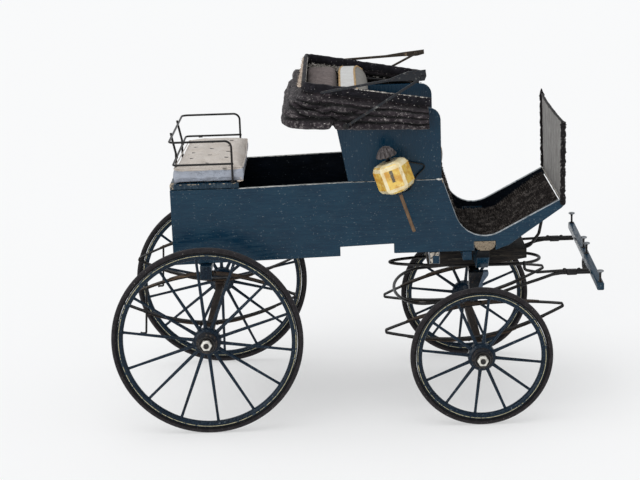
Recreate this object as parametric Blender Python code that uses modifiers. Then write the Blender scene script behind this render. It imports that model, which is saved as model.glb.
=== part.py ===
"""A 1:8 scale model of a two-seat phaeton with a folding hood.

The model stands on the ground plane, its front along +X and its left side along +Y.
Distances written as "ahead" are measured forward from the rear axle.
"""
import math

import bmesh
import bpy
from mathutils import Matrix, Vector

# General sizes, in metres
FIT = 0.0003
REAR_AXLE_X = -0.1100
WHEELBASE = 0.1992
BODY_HALF = 0.0600
ROUND_STEPS = 12

# Wheels
REAR_RADIUS = 0.0700
FRONT_RADIUS = 0.0520
REAR_SPOKES = 14
FRONT_SPOKES = 12
REAR_PHASE = {"right": math.radians(17.8), "left": math.radians(-12.25)}
FRONT_PHASE = {"right": math.radians(22.6), "left": math.radians(-23.1)}
WHEEL_PLANE = BODY_HALF + 0.0265
TYRE_DEPTH = 0.0042
TYRE_WIDTH = 0.0052
FELLOE_DEPTH = 0.0041
FELLOE_WIDTH = 0.0046
SPOKE_HUB_RADIUS = 0.0013
SPOKE_RIM_RADIUS = 0.0010
HUB_RADIUS = 0.0102
HUB_COLLAR_RADIUS = 0.0076
HUB_CAP_RADIUS = 0.0056
HUB_OUT = 0.0092
HUB_IN = 0.0078
RIM_STEPS = 38
HUB_STEPS = 18

# Axles, nuts and springs
SPINDLE_RADIUS = 0.0020
AXLE_SIDE = 0.0058
NUT_ACROSS_FLATS = 0.0070
NUT_LENGTH = 0.0030
SPINDLE_PROUD = 0.0016
REAR_SPRING_Y = BODY_HALF + 0.0020
REAR_SPRING_HALF = 0.0660
REAR_SPRING_RISE = 0.0182
REAR_SPRING_Z = 0.0955
FRONT_SPRING_Y = BODY_HALF - 0.0050
FRONT_SPRING_HALF = {"right": 0.0693, "left": 0.0676}
FRONT_SPRING_BACK = 0.0028
FRONT_SPRING_HIGH = 0.0250
FRONT_SPRING_DOWN = {"right": 0.0150, "left": 0.0133}
FRONT_SPRING_TILT = {"right": math.radians(7.1), "left": math.radians(8.9)}
LEAF_THICK = 0.0010
LEAF_STEP = 0.0007
LEAF_WIDTH = 0.0050

# Body
PANEL = 0.0030
SIDE_BOTTOM = 0.1247
SIDE_BOTTOM_REAR = 0.1209
SIDE_TOP = 0.1790
SIDE_TOP_REAR = 0.1770
BODY_REAR = -0.0240
NOTCH_START = WHEELBASE - 0.1004
NOTCH_END = WHEELBASE - 0.0610
NOTCH_TOP = 0.1320
NOTCH_TOP_REAR = 0.1307
RAMP_START = WHEELBASE + 0.0138
RAMP_START_Z = 0.1276
NOSE = WHEELBASE + 0.0647
NOSE_Z = 0.1607
RAMP_END = NOSE - 0.0027
RAMP_END_Z = NOSE_Z - 0.0056
HEEL = WHEELBASE - 0.0246
HEEL_FOOT = WHEELBASE - 0.0066
HEEL_FOOT_Z = 0.1264
TOE_BEND_RADIUS = 0.0220
FLOOR_Z = 0.1322
FLOOR_THICK = 0.0020

# Rear seat
REAR_BOARD_FRONT = 0.0264
REAR_BOARD_THICK = 0.0040
REAR_CUSHION_BACK = -0.0200
REAR_CUSHION_FRONT = 0.0305
REAR_CUSHION_HALF = BODY_HALF - 0.0028
REAR_CUSHION_THICK = 0.0112
REAR_CUSHION_CROWN = 0.0042
RAIL_RADIUS = 0.0008
RAIL_Y = BODY_HALF - 0.0010
RAIL_BACK = -0.0230
RAIL_FRONT = 0.0222
RAIL_TOP_Z = SIDE_TOP + 0.0331
RAIL_LOW_Z = SIDE_TOP + 0.0163
RAIL_BEND = 0.0048
RAIL_POST_Y = 0.0270

# Front seat
SEAT_SIDE_FRONT = HEEL - 0.0006
SEAT_SIDE_BACK = SEAT_SIDE_FRONT - 0.0679
SEAT_SIDE_BACK_TOP = SEAT_SIDE_FRONT - 0.0775
SEAT_BACK_INSET = 0.0034
SEAT_SIDE_TOP = 0.2315
SEAT_SIDE_CORNER = 0.0085
SEAT_BOARD_Z = 0.1880
SEAT_BOARD_THICK = 0.0025
SEAT_CUSHION_THICK = 0.0090
SEAT_CUSHION_CROWN = 0.0035
BACKREST_TOP = 0.2480
BACKREST_BOTTOM = 0.2030
BACKREST_THICK = 0.0102
BACKREST_BULGE = 0.0042
BACKREST_HALF = BODY_HALF - 0.0035
BACKREST_WRAP = 0.0040

# Toe board, carpet and dash
TOE_THICK = 0.0014
CARPET_THICK = 0.0016
TOE_FLOOR_Z = 0.1264
DASH_AHEAD = NOSE - 0.0024
DASH_TOP = 0.2190
DASH_TONGUE = 0.0030
DASH_FOOT_HALF = BODY_HALF + 0.0017
DASH_TOP_HALF = BODY_HALF + 0.0067
DASH_BOARD = 0.0014
DASH_BINDING = 0.0032
DASH_BINDING_WIDE = 0.0030

# Lamps
LAMP_AHEAD = SEAT_SIDE_FRONT - 0.0354
LAMP_Z = 0.1863
LAMP_Y = BODY_HALF + 0.0168
LAMP_TILT = math.radians(-18.5)
LAMP_CAP_TILT = math.radians(-15.0)
LAMP_FACETS = 6
LAMP_RADIUS = 0.0144
LAMP_HALF = 0.0084
LAMP_POINT = 0.0036
LAMP_SHOULDER = 0.0026
LAMP_CAP_RADIUS = 0.0074
LAMP_CAP_HEIGHT = 0.0070
LAMP_CAP_STEM = 0.0042
LAMP_ROD_RADIUS = 0.0013
LAMP_ROD_LENGTH = 0.0315

# Hood
HOOD_AHEAD = SEAT_SIDE_FRONT - 0.0110
HOOD_Z = 0.2270
BOW_RADIUS = 0.0010
BOW_PITCH = 0.0024
BOW_FIRST_Y = BODY_HALF + 0.0015
FRONT_BOW_LIFT = 0.0030
EYE_HALF = 0.0008
FRONT_BOW = (SEAT_SIDE_FRONT - 0.0985, 0.2496, 0.2368)
MIDDLE_BOW = (SEAT_SIDE_FRONT - 0.1002, 0.2412, 0.2325)
REAR_BOW = (SEAT_SIDE_FRONT - 0.1008, 0.2335, 0.2285)
COVER_INSIDE = BODY_HALF + 0.0090
COVER_SIDE_THICK = 0.0084
COVER_BACK_THICK = 0.0112
COVER_BACK = SEAT_SIDE_FRONT - 0.1138
COVER_FRONT = SEAT_SIDE_FRONT - 0.0075
COVER_BOTTOM = 0.2194
COVER_TOP_FRONT = 0.2365
COVER_TOP_BACK = 0.2470
COVER_TOP_SLANT = 0.0066
COVER_CORNER = 0.0150
COVER_ROLLS = 3
STAY_PIN_AHEAD = SEAT_SIDE_FRONT - 0.0684
STAY_PIN_Z = 0.2234
LOWER_STAY_LENGTH = 0.0644
LOWER_STAY_SLOPE = {"right": math.radians(31.0), "left": math.radians(26.5)}
UPPER_STAY_LENGTH = 0.0720
UPPER_STAY_SLOPE = {"right": math.radians(6.4), "left": math.radians(3.0)}
UPPER_STAY_CRANK = {"right": 0.0018, "left": -0.0002}
UPPER_STAY_PLATE = 0.0240
PLATE_TOP = {"right": 0.0061, "left": 0.0018}
PLATE_BELLY = {"right": -0.0002, "left": -0.0013}
PLATE_NOSE = {"right": 0.0027, "left": 0.0066}
PLATE_NOSE_TOP = {"right": 0.0056, "left": 0.0025}
PLATE_NOSE_DEEP = {"right": 0.0046, "left": 0.0033}
PIN_RADIUS = 0.0010
PIN_HEAD_RADIUS = 0.0019
PIN_HEAD = 0.0009
LINK_THICK = 0.0012
LINK_WIDE = 0.0017
LINK_EYE = 0.0022

# Rear running gear
BOLSTER_BACK = -0.0044
BOLSTER_FRONT = 0.0040
BOLSTER_CHEEK = 0.0016
CHECK_ROD_BACK = -0.0445
CHECK_ROD_FOOT_Z = 0.0715
CHECK_ROD_RADIUS = 0.0008

# Fore carriage and what it turns under
PERCH_FRONT = NOSE - 0.0244
PERCH_HALF = 0.0200
PERCH_BOTTOM = 0.1042
PERCH_NOSE_BOTTOM = 0.1078
PERCH_RISE = WHEELBASE + 0.0173
TOE_STAY_RADIUS = 0.0012
CROSS_BAR_HIGH = 0.0087
FRONT_CROSS_BAR_HIGH = 0.0067
CROSS_BAR_WIDE = 0.0068
REAR_CROSS_BAR = WHEELBASE - 0.0315
FRONT_CROSS_BAR = WHEELBASE - 0.0075
TRANSOM_BACK = WHEELBASE - 0.0002
TRANSOM_FRONT = WHEELBASE + 0.0088
TRANSOM_END_BACK = WHEELBASE - 0.0020
TRANSOM_END_FRONT = WHEELBASE + 0.0130
TRANSOM_END_TOP = 0.1314
TRANSOM_END_DEEP = 0.0072
TRANSOM_HALF = BODY_HALF - 0.0140
TRANSOM_BOTTOM = 0.1080
LOOP_BACK = WHEELBASE - 0.0630
LOOP_FRONT = WHEELBASE + 0.0520
LOOP_HALF = 0.0180
LOOP_FRONT_CURVE = 0.0240
LOOP_RADIUS = 0.0012
LOOP_Z = 0.1027
KING_BOLT_RADIUS = 0.0020
BED_HALF = FRONT_SPRING_Y + 0.0020
BED_BACK = WHEELBASE - 0.0037
BED_FRONT = WHEELBASE + 0.0038
BED_END = 0.0072
BED_END_BACK = WHEELBASE - 0.0062
BED_END_FRONT = WHEELBASE + 0.0082
BED_OVER_ARCH = 0.0037
TURN_IRON_RADIUS = 0.0012
TURN_IRON_Y = FRONT_SPRING_Y - 0.0030
TURN_IRON_BACK = WHEELBASE - 0.0602
TURN_IRON_BACK_Z = 0.0818
TURN_IRON_CURVE = 0.0240
FUTCHELL_Z = 0.1036
FUTCHELL_LEVEL = WHEELBASE + 0.0618
SPLINTER_AHEAD = WHEELBASE + 0.0872
SPLINTER_WIDE = 0.0050
SPLINTER_THICK = 0.0056
SPLINTER_HALF = WHEEL_PLANE + 0.0050
SPLINTER_Z = 0.1042
SPLINTER_SKEW = 0.0031
SPLINTER_RISE = 0.0022
SOCKET_RADIUS = 0.0046
SOCKET_BORE = 0.0028
SOCKET_LENGTH = 0.0040
ROLLER_RADIUS = 0.0008
ROLLER_HEAD_RADIUS = 0.0025
ROLLER_HIGH = 0.0085
ROLLER_OUTER_Y = WHEEL_PLANE + 0.0015
ROLLER_INNER_Y = 0.0090

COATS = {
    "navy_paint": ((0.016, 0.040, 0.068, 1.0), 0.38, 0.0),
    "grey_leather": ((0.52, 0.49, 0.46, 1.0), 0.60, 0.0),
    "black_iron": ((0.012, 0.012, 0.013, 1.0), 0.45, 0.6),
    "rubber": ((0.050, 0.046, 0.046, 1.0), 0.80, 0.0),
    "spring_wood": ((0.13, 0.085, 0.055, 1.0), 0.60, 0.0),
    "dark_wood": ((0.075, 0.060, 0.050, 1.0), 0.70, 0.0),
    "hood_cloth": ((0.030, 0.024, 0.025, 1.0), 0.85, 0.0),
    "dash_leather": ((0.19, 0.18, 0.175, 1.0), 0.60, 0.0),
    "carpet": ((0.040, 0.033, 0.029, 1.0), 0.95, 0.0),
    "amber": ((0.75, 0.47, 0.10, 1.0), 0.20, 0.0),
    "copper": ((0.32, 0.17, 0.09, 1.0), 0.40, 0.8),
    "brown_paint": ((0.13, 0.105, 0.090, 1.0), 0.60, 0.0),
}


def clear_scene():
    for obj in list(bpy.data.objects):
        bpy.data.objects.remove(obj, do_unlink=True)


def new_collection(name):
    group = bpy.data.collections.new(name)
    bpy.context.scene.collection.children.link(group)
    return group


clear_scene()
PARTS = new_collection("phaeton_scale_model")
CUTTERS = new_collection("cutters")


def coat(name):
    found = bpy.data.materials.get(name)
    if found:
        return found
    colour, rough, metal = COATS[name]
    made = bpy.data.materials.new(name)
    made.use_nodes = True
    shader = made.node_tree.nodes["Principled BSDF"]
    shader.inputs["Base Color"].default_value = colour
    shader.inputs["Roughness"].default_value = rough
    shader.inputs["Metallic"].default_value = metal
    made.diffuse_color = colour
    return made


def ahead(distance):
    return REAR_AXLE_X + distance


def place(name, data, finish):
    obj = bpy.data.objects.new(name, data)
    data.materials.append(coat(finish))
    PARTS.objects.link(obj)
    return obj


def smooth(obj, degrees=35):
    obj.data.shade_smooth()
    obj.data.set_sharp_from_angle(angle=math.radians(degrees))
    return obj


def box(name, low, high, finish, edge=0.0):
    """A box between two corners, with its origin at its middle."""
    low, high = Vector(low), Vector(high)
    shape = bmesh.new()
    bmesh.ops.create_cube(shape, size=1.0)
    bmesh.ops.scale(shape, vec=high - low, verts=shape.verts)
    mesh = bpy.data.meshes.new(name)
    shape.to_mesh(mesh)
    shape.free()
    obj = place(name, mesh, finish)
    obj.location = (low + high) / 2
    if edge:
        bevel = obj.modifiers.new("edges", "BEVEL")
        bevel.width = edge
        bevel.segments = 1
    return obj


def cylinder(name, start, end, radius, finish, sides=ROUND_STEPS, far_radius=None, turn=0.0):
    """A cylinder or cone from one point to another."""
    start, end = Vector(start), Vector(end)
    run = end - start
    shape = bmesh.new()
    bmesh.ops.create_cone(
        shape, cap_ends=True, segments=sides, radius1=radius,
        radius2=radius if far_radius is None else far_radius, depth=run.length,
        matrix=Matrix.Rotation(turn, 4, "Z"))
    mesh = bpy.data.meshes.new(name)
    shape.to_mesh(mesh)
    shape.free()
    obj = place(name, mesh, finish)
    obj.location = (start + end) / 2
    obj.rotation_euler = run.to_track_quat("Z", "Y").to_euler()
    return obj


def turned(name, profile, centre, turn, steps, finish):
    """A profile turned round its Z axis, then laid to its place.

    The profile is (radius, height) points, down the outer side and back up the bore.
    """
    shape = bmesh.new()
    ring = [shape.verts.new((radius, 0.0, height)) for radius, height in profile]
    for first, second in zip(ring, ring[1:] + ring[:1]):
        if first.co.x > 0.0 or second.co.x > 0.0:
            shape.edges.new((first, second))
    mesh = bpy.data.meshes.new(name)
    shape.to_mesh(mesh)
    shape.free()
    obj = place(name, mesh, finish)
    screw = obj.modifiers.new("turn", "SCREW")
    screw.steps = steps
    screw.render_steps = steps
    screw.use_merge_vertices = True
    screw.merge_threshold = 0.00005
    screw.use_smooth_shade = True
    obj.location = centre
    obj.rotation_euler = turn
    return obj


def rounded(points, radii, steps=5):
    """A closed outline with its corners filleted, a radius for each corner."""
    outline = []
    count = len(points)
    for index, (point, radius) in enumerate(zip(points, radii)):
        corner = Vector(point)
        if not radius:
            outline.append(tuple(corner))
            continue
        outline += fillet(Vector(points[index - 1]), corner, Vector(points[(index + 1) % count]), radius, steps)
    return outline


def fillet(before, corner, after, radius, steps):
    """The points of an arc that rounds the corner between two others."""
    back = (before - corner).normalized()
    on = (after - corner).normalized()
    half = back.angle(on) / 2
    middle = corner + (back + on).normalized() * (radius / math.sin(half))
    first = corner + back * (radius / math.tan(half)) - middle
    last = corner + on * (radius / math.tan(half)) - middle
    sweep = first.angle(last)
    arc = []
    for step in range(steps + 1):
        share = step / steps
        mixed = first * math.sin((1 - share) * sweep) + last * math.sin(share * sweep)
        arc.append(tuple(middle + mixed / math.sin(sweep)))
    return arc


def bent(points, radius, steps=4):
    """An open route through points, with every inner corner filleted."""
    route = [tuple(points[0])]
    for before, corner, after in zip(points, points[1:], points[2:]):
        route += fillet(Vector(before), Vector(corner), Vector(after), radius, steps)
    route.append(tuple(points[-1]))
    return route


def arc_points(centre, radius, start, end, steps):
    turns = [start + (end - start) * step / steps for step in range(steps + 1)]
    return [(centre[0] + radius * math.cos(turn), centre[1] + radius * math.sin(turn)) for turn in turns]


def circle_points(centre, radius, steps=ROUND_STEPS):
    return arc_points(centre, radius, 0.0, 2 * math.pi, steps)[:-1]


def outline_curve(name, outlines, thick, finish):
    """A flat outline, with any holes after it, as thick as asked, about its own plane."""
    curve = bpy.data.curves.new(name, "CURVE")
    curve.dimensions = "2D"
    curve.fill_mode = "BOTH"
    curve.extrude = thick / 2
    for outline in outlines:
        spline = curve.splines.new("POLY")
        spline.points.add(len(outline) - 1)
        for point, (across, up) in zip(spline.points, outline):
            point.co = (across, up, 0.0, 1.0)
        spline.use_cyclic_u = True
    return place(name, curve, finish)


def side_plate(name, outlines, y_from, y_to, finish):
    """A plate drawn in the side view (ahead, height), between two places across."""
    obj = outline_curve(name, outlines, abs(y_to - y_from), finish)
    obj.location = (REAR_AXLE_X, (y_from + y_to) / 2, 0.0)
    obj.rotation_euler = (math.pi / 2, 0.0, 0.0)
    return obj


def front_plate(name, outlines, ahead_from, ahead_to, finish):
    """A plate drawn in the front view (across, height), between two places ahead."""
    obj = outline_curve(name, outlines, abs(ahead_to - ahead_from), finish)
    obj.location = (ahead((ahead_from + ahead_to) / 2), 0.0, 0.0)
    obj.rotation_euler = (math.pi / 2, 0.0, math.pi / 2)
    return obj


def wire(name, points, radius, finish, closed=False, fine=2):
    """A round wire along a route of (ahead, across, height) points."""
    curve = bpy.data.curves.new(name, "CURVE")
    curve.dimensions = "3D"
    curve.bevel_depth = radius
    curve.bevel_resolution = fine
    curve.use_fill_caps = True
    spline = curve.splines.new("POLY")
    spline.points.add(len(points) - 1)
    for point, (along, across, up) in zip(spline.points, points):
        point.co = (ahead(along), across, up, 1.0)
    spline.use_cyclic_u = closed
    return place(name, curve, finish)


def as_mesh(obj):
    """The object as a plain closed mesh, under the same name, for joining and cutting."""
    bpy.context.view_layer.update()
    shown = obj.evaluated_get(bpy.context.evaluated_depsgraph_get())
    mesh = bpy.data.meshes.new_from_object(shown)
    name, where = obj.name, obj.matrix_world.copy()
    bpy.data.objects.remove(obj, do_unlink=True)
    shape = bmesh.new()
    shape.from_mesh(mesh)
    bmesh.ops.remove_doubles(shape, verts=shape.verts, dist=0.000001)
    bmesh.ops.recalc_face_normals(shape, faces=shape.faces)
    shape.to_mesh(mesh)
    shape.free()
    made = bpy.data.objects.new(name, mesh)
    made.matrix_world = where
    PARTS.objects.link(made)
    return made


def use_as_cutter(obj):
    PARTS.objects.unlink(obj)
    CUTTERS.objects.link(obj)
    obj.hide_render = True
    obj.display_type = "WIRE"


def combine(main, others, operation="UNION"):
    """Joins the others to the main object, or cuts them from it."""
    for index, other in enumerate(others):
        boolean = main.modifiers.new(operation.lower() + str(index), "BOOLEAN")
        boolean.operation = operation
        boolean.solver = "EXACT"
        boolean.object = other
        use_as_cutter(other)
    return main


def pivot(name, location):
    """An empty on a joint's axis that carries what turns about it."""
    empty = bpy.data.objects.new(name, None)
    empty.location = location
    empty.empty_display_size = 0.01
    PARTS.objects.link(empty)
    return empty


def carry(parent, children):
    bpy.context.view_layer.update()
    for child in children:
        child.parent = parent
        child.matrix_parent_inverse = parent.matrix_world.inverted()


SIDES = {"right": -1.0, "left": 1.0}


def spokes(name, count, phase, inner, outer):
    """All the spokes of one wheel in one mesh, flat in the wheel's own plane."""
    shape = bmesh.new()
    for index in range(count):
        angle = phase + 2 * math.pi * index / count
        lay = Matrix.Rotation(angle, 4, "Z") @ Matrix.Translation(((inner + outer) / 2, 0, 0))
        bmesh.ops.create_cone(
            shape, cap_ends=True, segments=6, radius1=SPOKE_HUB_RADIUS, radius2=SPOKE_RIM_RADIUS,
            depth=outer - inner, matrix=lay @ Matrix.Rotation(math.pi / 2, 4, "Y"))
    mesh = bpy.data.meshes.new(name)
    shape.to_mesh(mesh)
    shape.free()
    return place(name, mesh, "navy_paint")


def hub_profile():
    bore = SPINDLE_RADIUS + FIT
    return [
        (HUB_CAP_RADIUS, HUB_OUT), (HUB_CAP_RADIUS, HUB_OUT - 0.0016),
        (HUB_COLLAR_RADIUS, HUB_OUT - 0.0022), (HUB_COLLAR_RADIUS, HUB_OUT - 0.0050),
        (HUB_RADIUS, HUB_OUT - 0.0062), (HUB_RADIUS, -0.0030),
        (HUB_COLLAR_RADIUS, -0.0042), (HUB_CAP_RADIUS, -HUB_IN),
        (bore, -HUB_IN), (bore, HUB_OUT)]


def make_wheel(place_name, side, centre_ahead, radius, count, phase):
    """A spoked wooden wheel with its rubber tyre, on its own empty."""
    across = SIDES[side]
    centre = Vector((ahead(centre_ahead), across * WHEEL_PLANE, radius))
    lay = (-across * math.pi / 2, 0.0, 0.0)
    tyre_in = radius - TYRE_DEPTH
    rim_out = tyre_in - FIT
    rim_in = rim_out - FELLOE_DEPTH
    half_tyre = TYRE_WIDTH / 2
    half_rim = FELLOE_WIDTH / 2
    name = place_name + "_wheel_" + side
    wheel = turned(name, hub_profile(), centre, lay, HUB_STEPS, "navy_paint")
    rim = turned(name + "_felloe", [
        (rim_out, half_rim), (rim_out, -half_rim), (rim_in, -half_rim * 0.8), (rim_in, half_rim * 0.8)],
        centre, lay, RIM_STEPS, "navy_paint")
    arms = spokes(name + "_spokes", count, phase, HUB_RADIUS - 0.0022, rim_in + 0.0012)
    arms.location = centre
    arms.rotation_euler = lay
    combine(wheel, [arms, rim])
    tyre = turned(place_name + "_tyre_" + side, [
        (radius, half_tyre * 0.45), (radius, -half_tyre * 0.45), (tyre_in + TYRE_DEPTH * 0.55, -half_tyre),
        (tyre_in, -half_tyre * 0.8), (tyre_in, half_tyre * 0.8), (tyre_in + TYRE_DEPTH * 0.55, half_tyre)],
        centre, lay, RIM_STEPS, "rubber")
    turn = pivot(name + "_turn", centre)
    carry(turn, [wheel, tyre])
    return turn


def make_axle(name, centre_ahead, height, pads):
    """A square bar with round spindles and a nut on each end, and pads under the springs."""
    middle = ahead(centre_ahead)
    half = AXLE_SIDE / 2
    shoulder = WHEEL_PLANE - HUB_IN - FIT
    nut_start = WHEEL_PLANE + HUB_OUT + FIT
    nut_end = nut_start + NUT_LENGTH
    tip = nut_end + SPINDLE_PROUD
    low = (middle - half, -shoulder, height - half)
    high = (middle + half, shoulder, height + half)
    axle = box(name, low, high, "dark_wood")
    spindle = cylinder(
        name + "_spindle", (middle, -tip, height), (middle, tip, height), SPINDLE_RADIUS, "black_iron")
    extra = [spindle]
    for side, across in SIDES.items():
        nut = cylinder(
            name + "_nut_" + side, (middle, across * nut_start, height), (middle, across * nut_end, height),
            NUT_ACROSS_FLATS / math.sqrt(3), "black_iron", sides=6)
        extra.append(nut)
    for side, across in SIDES.items():
        if pads:
            pad_y, pad_top = pads
            low = (middle - half, across * pad_y - LEAF_WIDTH / 2, height)
            high = (middle + half, across * pad_y + LEAF_WIDTH / 2, pad_top)
            extra.append(box(name + "_pad_" + side, low, high, "dark_wood"))
    return combine(axle, extra)


def spring_outlines(half_length, rise_up, rise_down, tilt, centre):
    """The outer and inner outlines of a full elliptic spring with stepped leaves."""
    leaf_ends = (0.74, 0.42)
    steps = 10

    def half_outline(rise, outward):
        shares = sorted([-1 + 2 * step / steps for step in range(steps + 1)] + [-0.95, 0.95])
        rows = []
        for share in shares:
            rows.append((share, rise * (1 - abs(share) ** 1.8)))
        return [(share * half_length, height * outward) for share, height in rows]

    def stacked(points, outward):
        raised = []
        for along, up in points:
            share = abs(along) / half_length
            leaves = sum(1 for end in leaf_ends if share < end)
            raised.append((along, up + outward * (LEAF_THICK / 2 + leaves * LEAF_STEP)))
        return raised

    def inside(points, outward):
        return [(along, up - outward * LEAF_THICK / 2) for along, up in points]

    upper = half_outline(rise_up, 1)
    lower = half_outline(rise_down, -1)
    outer = stacked(upper, 1) + list(reversed(stacked(lower, -1)))
    inner = inside(upper[1:-1], 1) + list(reversed(inside(lower[1:-1], -1)))
    turned_outlines = []
    for outline in (outer, inner):
        turned_outlines.append([
            (centre[0] + x * math.cos(tilt) - z * math.sin(tilt),
             centre[1] + x * math.sin(tilt) + z * math.cos(tilt))
            for x, z in outline])
    return turned_outlines


def make_rear_gear():
    pad_top = REAR_SPRING_Z - REAR_SPRING_RISE - LEAF_THICK / 2 - 2 * LEAF_STEP - FIT
    make_axle("rear_axle", 0.0, REAR_RADIUS, (REAR_SPRING_Y, pad_top))
    outlines = spring_outlines(
        REAR_SPRING_HALF, REAR_SPRING_RISE, REAR_SPRING_RISE, 0.0, (0.0, REAR_SPRING_Z))
    rod_y = REAR_SPRING_Y + LEAF_WIDTH / 2 + CHECK_ROD_RADIUS / 2
    rise_at_rod = REAR_SPRING_RISE * (1 - abs(CHECK_ROD_BACK / REAR_SPRING_HALF) ** 1.8)
    rod_top = REAR_SPRING_Z + rise_at_rod
    for side, across in SIDES.items():
        middle = across * REAR_SPRING_Y
        spring = as_mesh(side_plate(
            "rear_spring_" + side, outlines, middle - LEAF_WIDTH / 2, middle + LEAF_WIDTH / 2, "spring_wood"))
        rod = as_mesh(wire("rear_check_rod_" + side, bent([
            (CHECK_ROD_BACK, across * (rod_y - 0.0030), rod_top + 0.0004),
            (CHECK_ROD_BACK, across * (rod_y + 0.0012), rod_top + 0.0004),
            (CHECK_ROD_BACK - 0.0006, across * (rod_y + 0.0012), rod_top - 0.0120),
            (CHECK_ROD_BACK - 0.0020, across * (rod_y + 0.0012), CHECK_ROD_FOOT_Z),
            (CHECK_ROD_BACK - 0.0052, across * (rod_y + 0.0012), CHECK_ROD_FOOT_Z)], 0.0008, 2),
            CHECK_ROD_RADIUS, "black_iron", fine=1))
        combine(spring, [rod])
    top = side_bottom(BOLSTER_BACK) - FIT
    bottom = REAR_SPRING_Z + REAR_SPRING_RISE + LEAF_THICK / 2 + 2 * LEAF_STEP + FIT
    reach = REAR_SPRING_Y + LEAF_WIDTH / 2 + FIT + BOLSTER_CHEEK
    inner = reach - BOLSTER_CHEEK
    cheek_bottom = bottom - 0.0052
    outline = [
        (-reach, top), (reach, top), (reach, cheek_bottom), (inner, cheek_bottom), (inner, bottom),
        (-inner, bottom), (-inner, cheek_bottom), (-reach, cheek_bottom)]
    front_plate("rear_bolster", [outline], BOLSTER_BACK, BOLSTER_FRONT, "navy_paint")


def side_bottom(along):
    """The height of the body's lower edge, which rises from the rear to the notch."""
    share = (along - BODY_REAR) / (NOTCH_END - BODY_REAR)
    return SIDE_BOTTOM_REAR + (SIDE_BOTTOM - SIDE_BOTTOM_REAR) * share


def side_outline():
    notch = TRANSOM_END_TOP + FIT
    corners = [
        (BODY_REAR, SIDE_BOTTOM_REAR), (NOTCH_START, side_bottom(NOTCH_START)), (NOTCH_START, NOTCH_TOP_REAR),
        (NOTCH_END, NOTCH_TOP), (NOTCH_END, SIDE_BOTTOM), (TRANSOM_END_BACK - FIT, SIDE_BOTTOM),
        (TRANSOM_END_BACK - FIT, notch), (TRANSOM_END_FRONT + FIT, notch),
        (TRANSOM_END_FRONT + FIT, SIDE_BOTTOM), (RAMP_START + 0.0100, RAMP_START_Z + 0.0012),
        (RAMP_END, RAMP_END_Z), (NOSE, RAMP_END_Z + 0.0030), (NOSE, NOSE_Z), (NOSE - 0.0040, NOSE_Z + 0.0007),
        (HEEL_FOOT, HEEL_FOOT_Z), (HEEL, SIDE_TOP), (SEAT_SIDE_BACK, SIDE_TOP),
        (REAR_BOARD_FRONT, SIDE_TOP_REAR), (BODY_REAR, SIDE_TOP_REAR)]
    radii = [0, 0, 0, 0, 0, 0, 0, 0, 0, 0.012, 0, 0, 0, 0, TOE_BEND_RADIUS, 0, 0, 0, 0]
    return rounded(corners, radii, 8)


def strip_outline(route, thick):
    """The closed outline of a strip that lies on the upper side of a route."""
    upper = []
    for index, point in enumerate(route):
        before = Vector(route[max(index - 1, 0)])
        after = Vector(route[min(index + 1, len(route) - 1)])
        run = (after - before).normalized()
        upper.append(tuple(Vector(point) + Vector((-run.y, run.x)) * thick))
    return list(route) + list(reversed(upper))


def ramp_height(along):
    """How high the underside of the toe board stands at a place on its slope."""
    start = RAMP_START + 0.0085
    end = RAMP_END + 0.0004
    return TOE_FLOOR_Z + (RAMP_END_Z + 0.0008 - TOE_FLOOR_Z) * (along - start) / (end - start)


def toe_route(lift):
    """The side-view line of the toe board's underside, raised by lift at right angles to it."""
    line = [
        (HEEL - 0.0034, 0.1840), (HEEL_FOOT - 0.0052, TOE_FLOOR_Z), (RAMP_START + 0.0085, TOE_FLOOR_Z),
        (RAMP_END + 0.0004, RAMP_END_Z + 0.0008)]
    route = bent(line, 0.0090, 5)
    if not lift:
        return route
    return strip_outline(route, lift)[len(route):][::-1]


def make_body():
    for side, across in SIDES.items():
        side_plate(
            "body_side_" + side, [side_outline()], across * (BODY_HALF - PANEL), across * BODY_HALF, "navy_paint")
    inside = BODY_HALF - PANEL - FIT
    box("rear_panel", (ahead(BODY_REAR), -inside, SIDE_BOTTOM_REAR),
        (ahead(BODY_REAR + PANEL), inside, SIDE_TOP_REAR), "navy_paint")
    floor_front = HEEL_FOOT - 0.0120
    box("body_floor", (ahead(BODY_REAR + PANEL + FIT), -inside, FLOOR_Z),
        (ahead(floor_front), inside, FLOOR_Z + FLOOR_THICK), "dark_wood")
    low = (ahead(BODY_REAR), -BODY_HALF, SIDE_TOP_REAR + FIT)
    high = (ahead(REAR_BOARD_FRONT), BODY_HALF, SIDE_TOP_REAR + FIT + REAR_BOARD_THICK)
    box("rear_seat_board", low, high, "navy_paint", 0.0005)


def pillow(name, low, high, cuts, crown, pull, finish, tufts=(), tuft_depth=0.0, tuft_radius=0.004):
    """A soft block with a crowned top, drawn-in sides and sewn tufts."""
    low, high = Vector(low), Vector(high)
    half = (high - low) / 2
    shape = bmesh.new()
    bmesh.ops.create_cube(shape, size=2.0)
    bmesh.ops.subdivide_edges(shape, edges=shape.edges, cuts=cuts, use_grid_fill=True)
    for vert in shape.verts:
        u, v, w = vert.co
        ring = max(abs(u), abs(v))
        corner = (abs(u) * abs(v)) ** 6
        x = half.x * u * (1 - pull * (1 - v * v)) * (1 - 0.035 * corner)
        y = half.y * v * (1 - pull * (1 - u * u)) * (1 - 0.020 * corner)
        soften = 1 - 0.030 * w ** 4
        z = half.z * w
        if w > 0:
            z += w * crown * (1 - u ** 4) * (1 - v ** 4)
            z -= w * 0.0016 * ring ** 10
            for tuft_x, tuft_y in tufts:
                reach = ((x - tuft_x) ** 2 + (y - tuft_y) ** 2) / tuft_radius ** 2
                z -= w * tuft_depth * math.exp(-reach)
        vert.co = (x * soften, y * soften, z)
    mesh = bpy.data.meshes.new(name)
    shape.to_mesh(mesh)
    shape.free()
    obj = place(name, mesh, finish)
    obj.location = (low + high) / 2
    return smooth(obj, 60)


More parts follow.
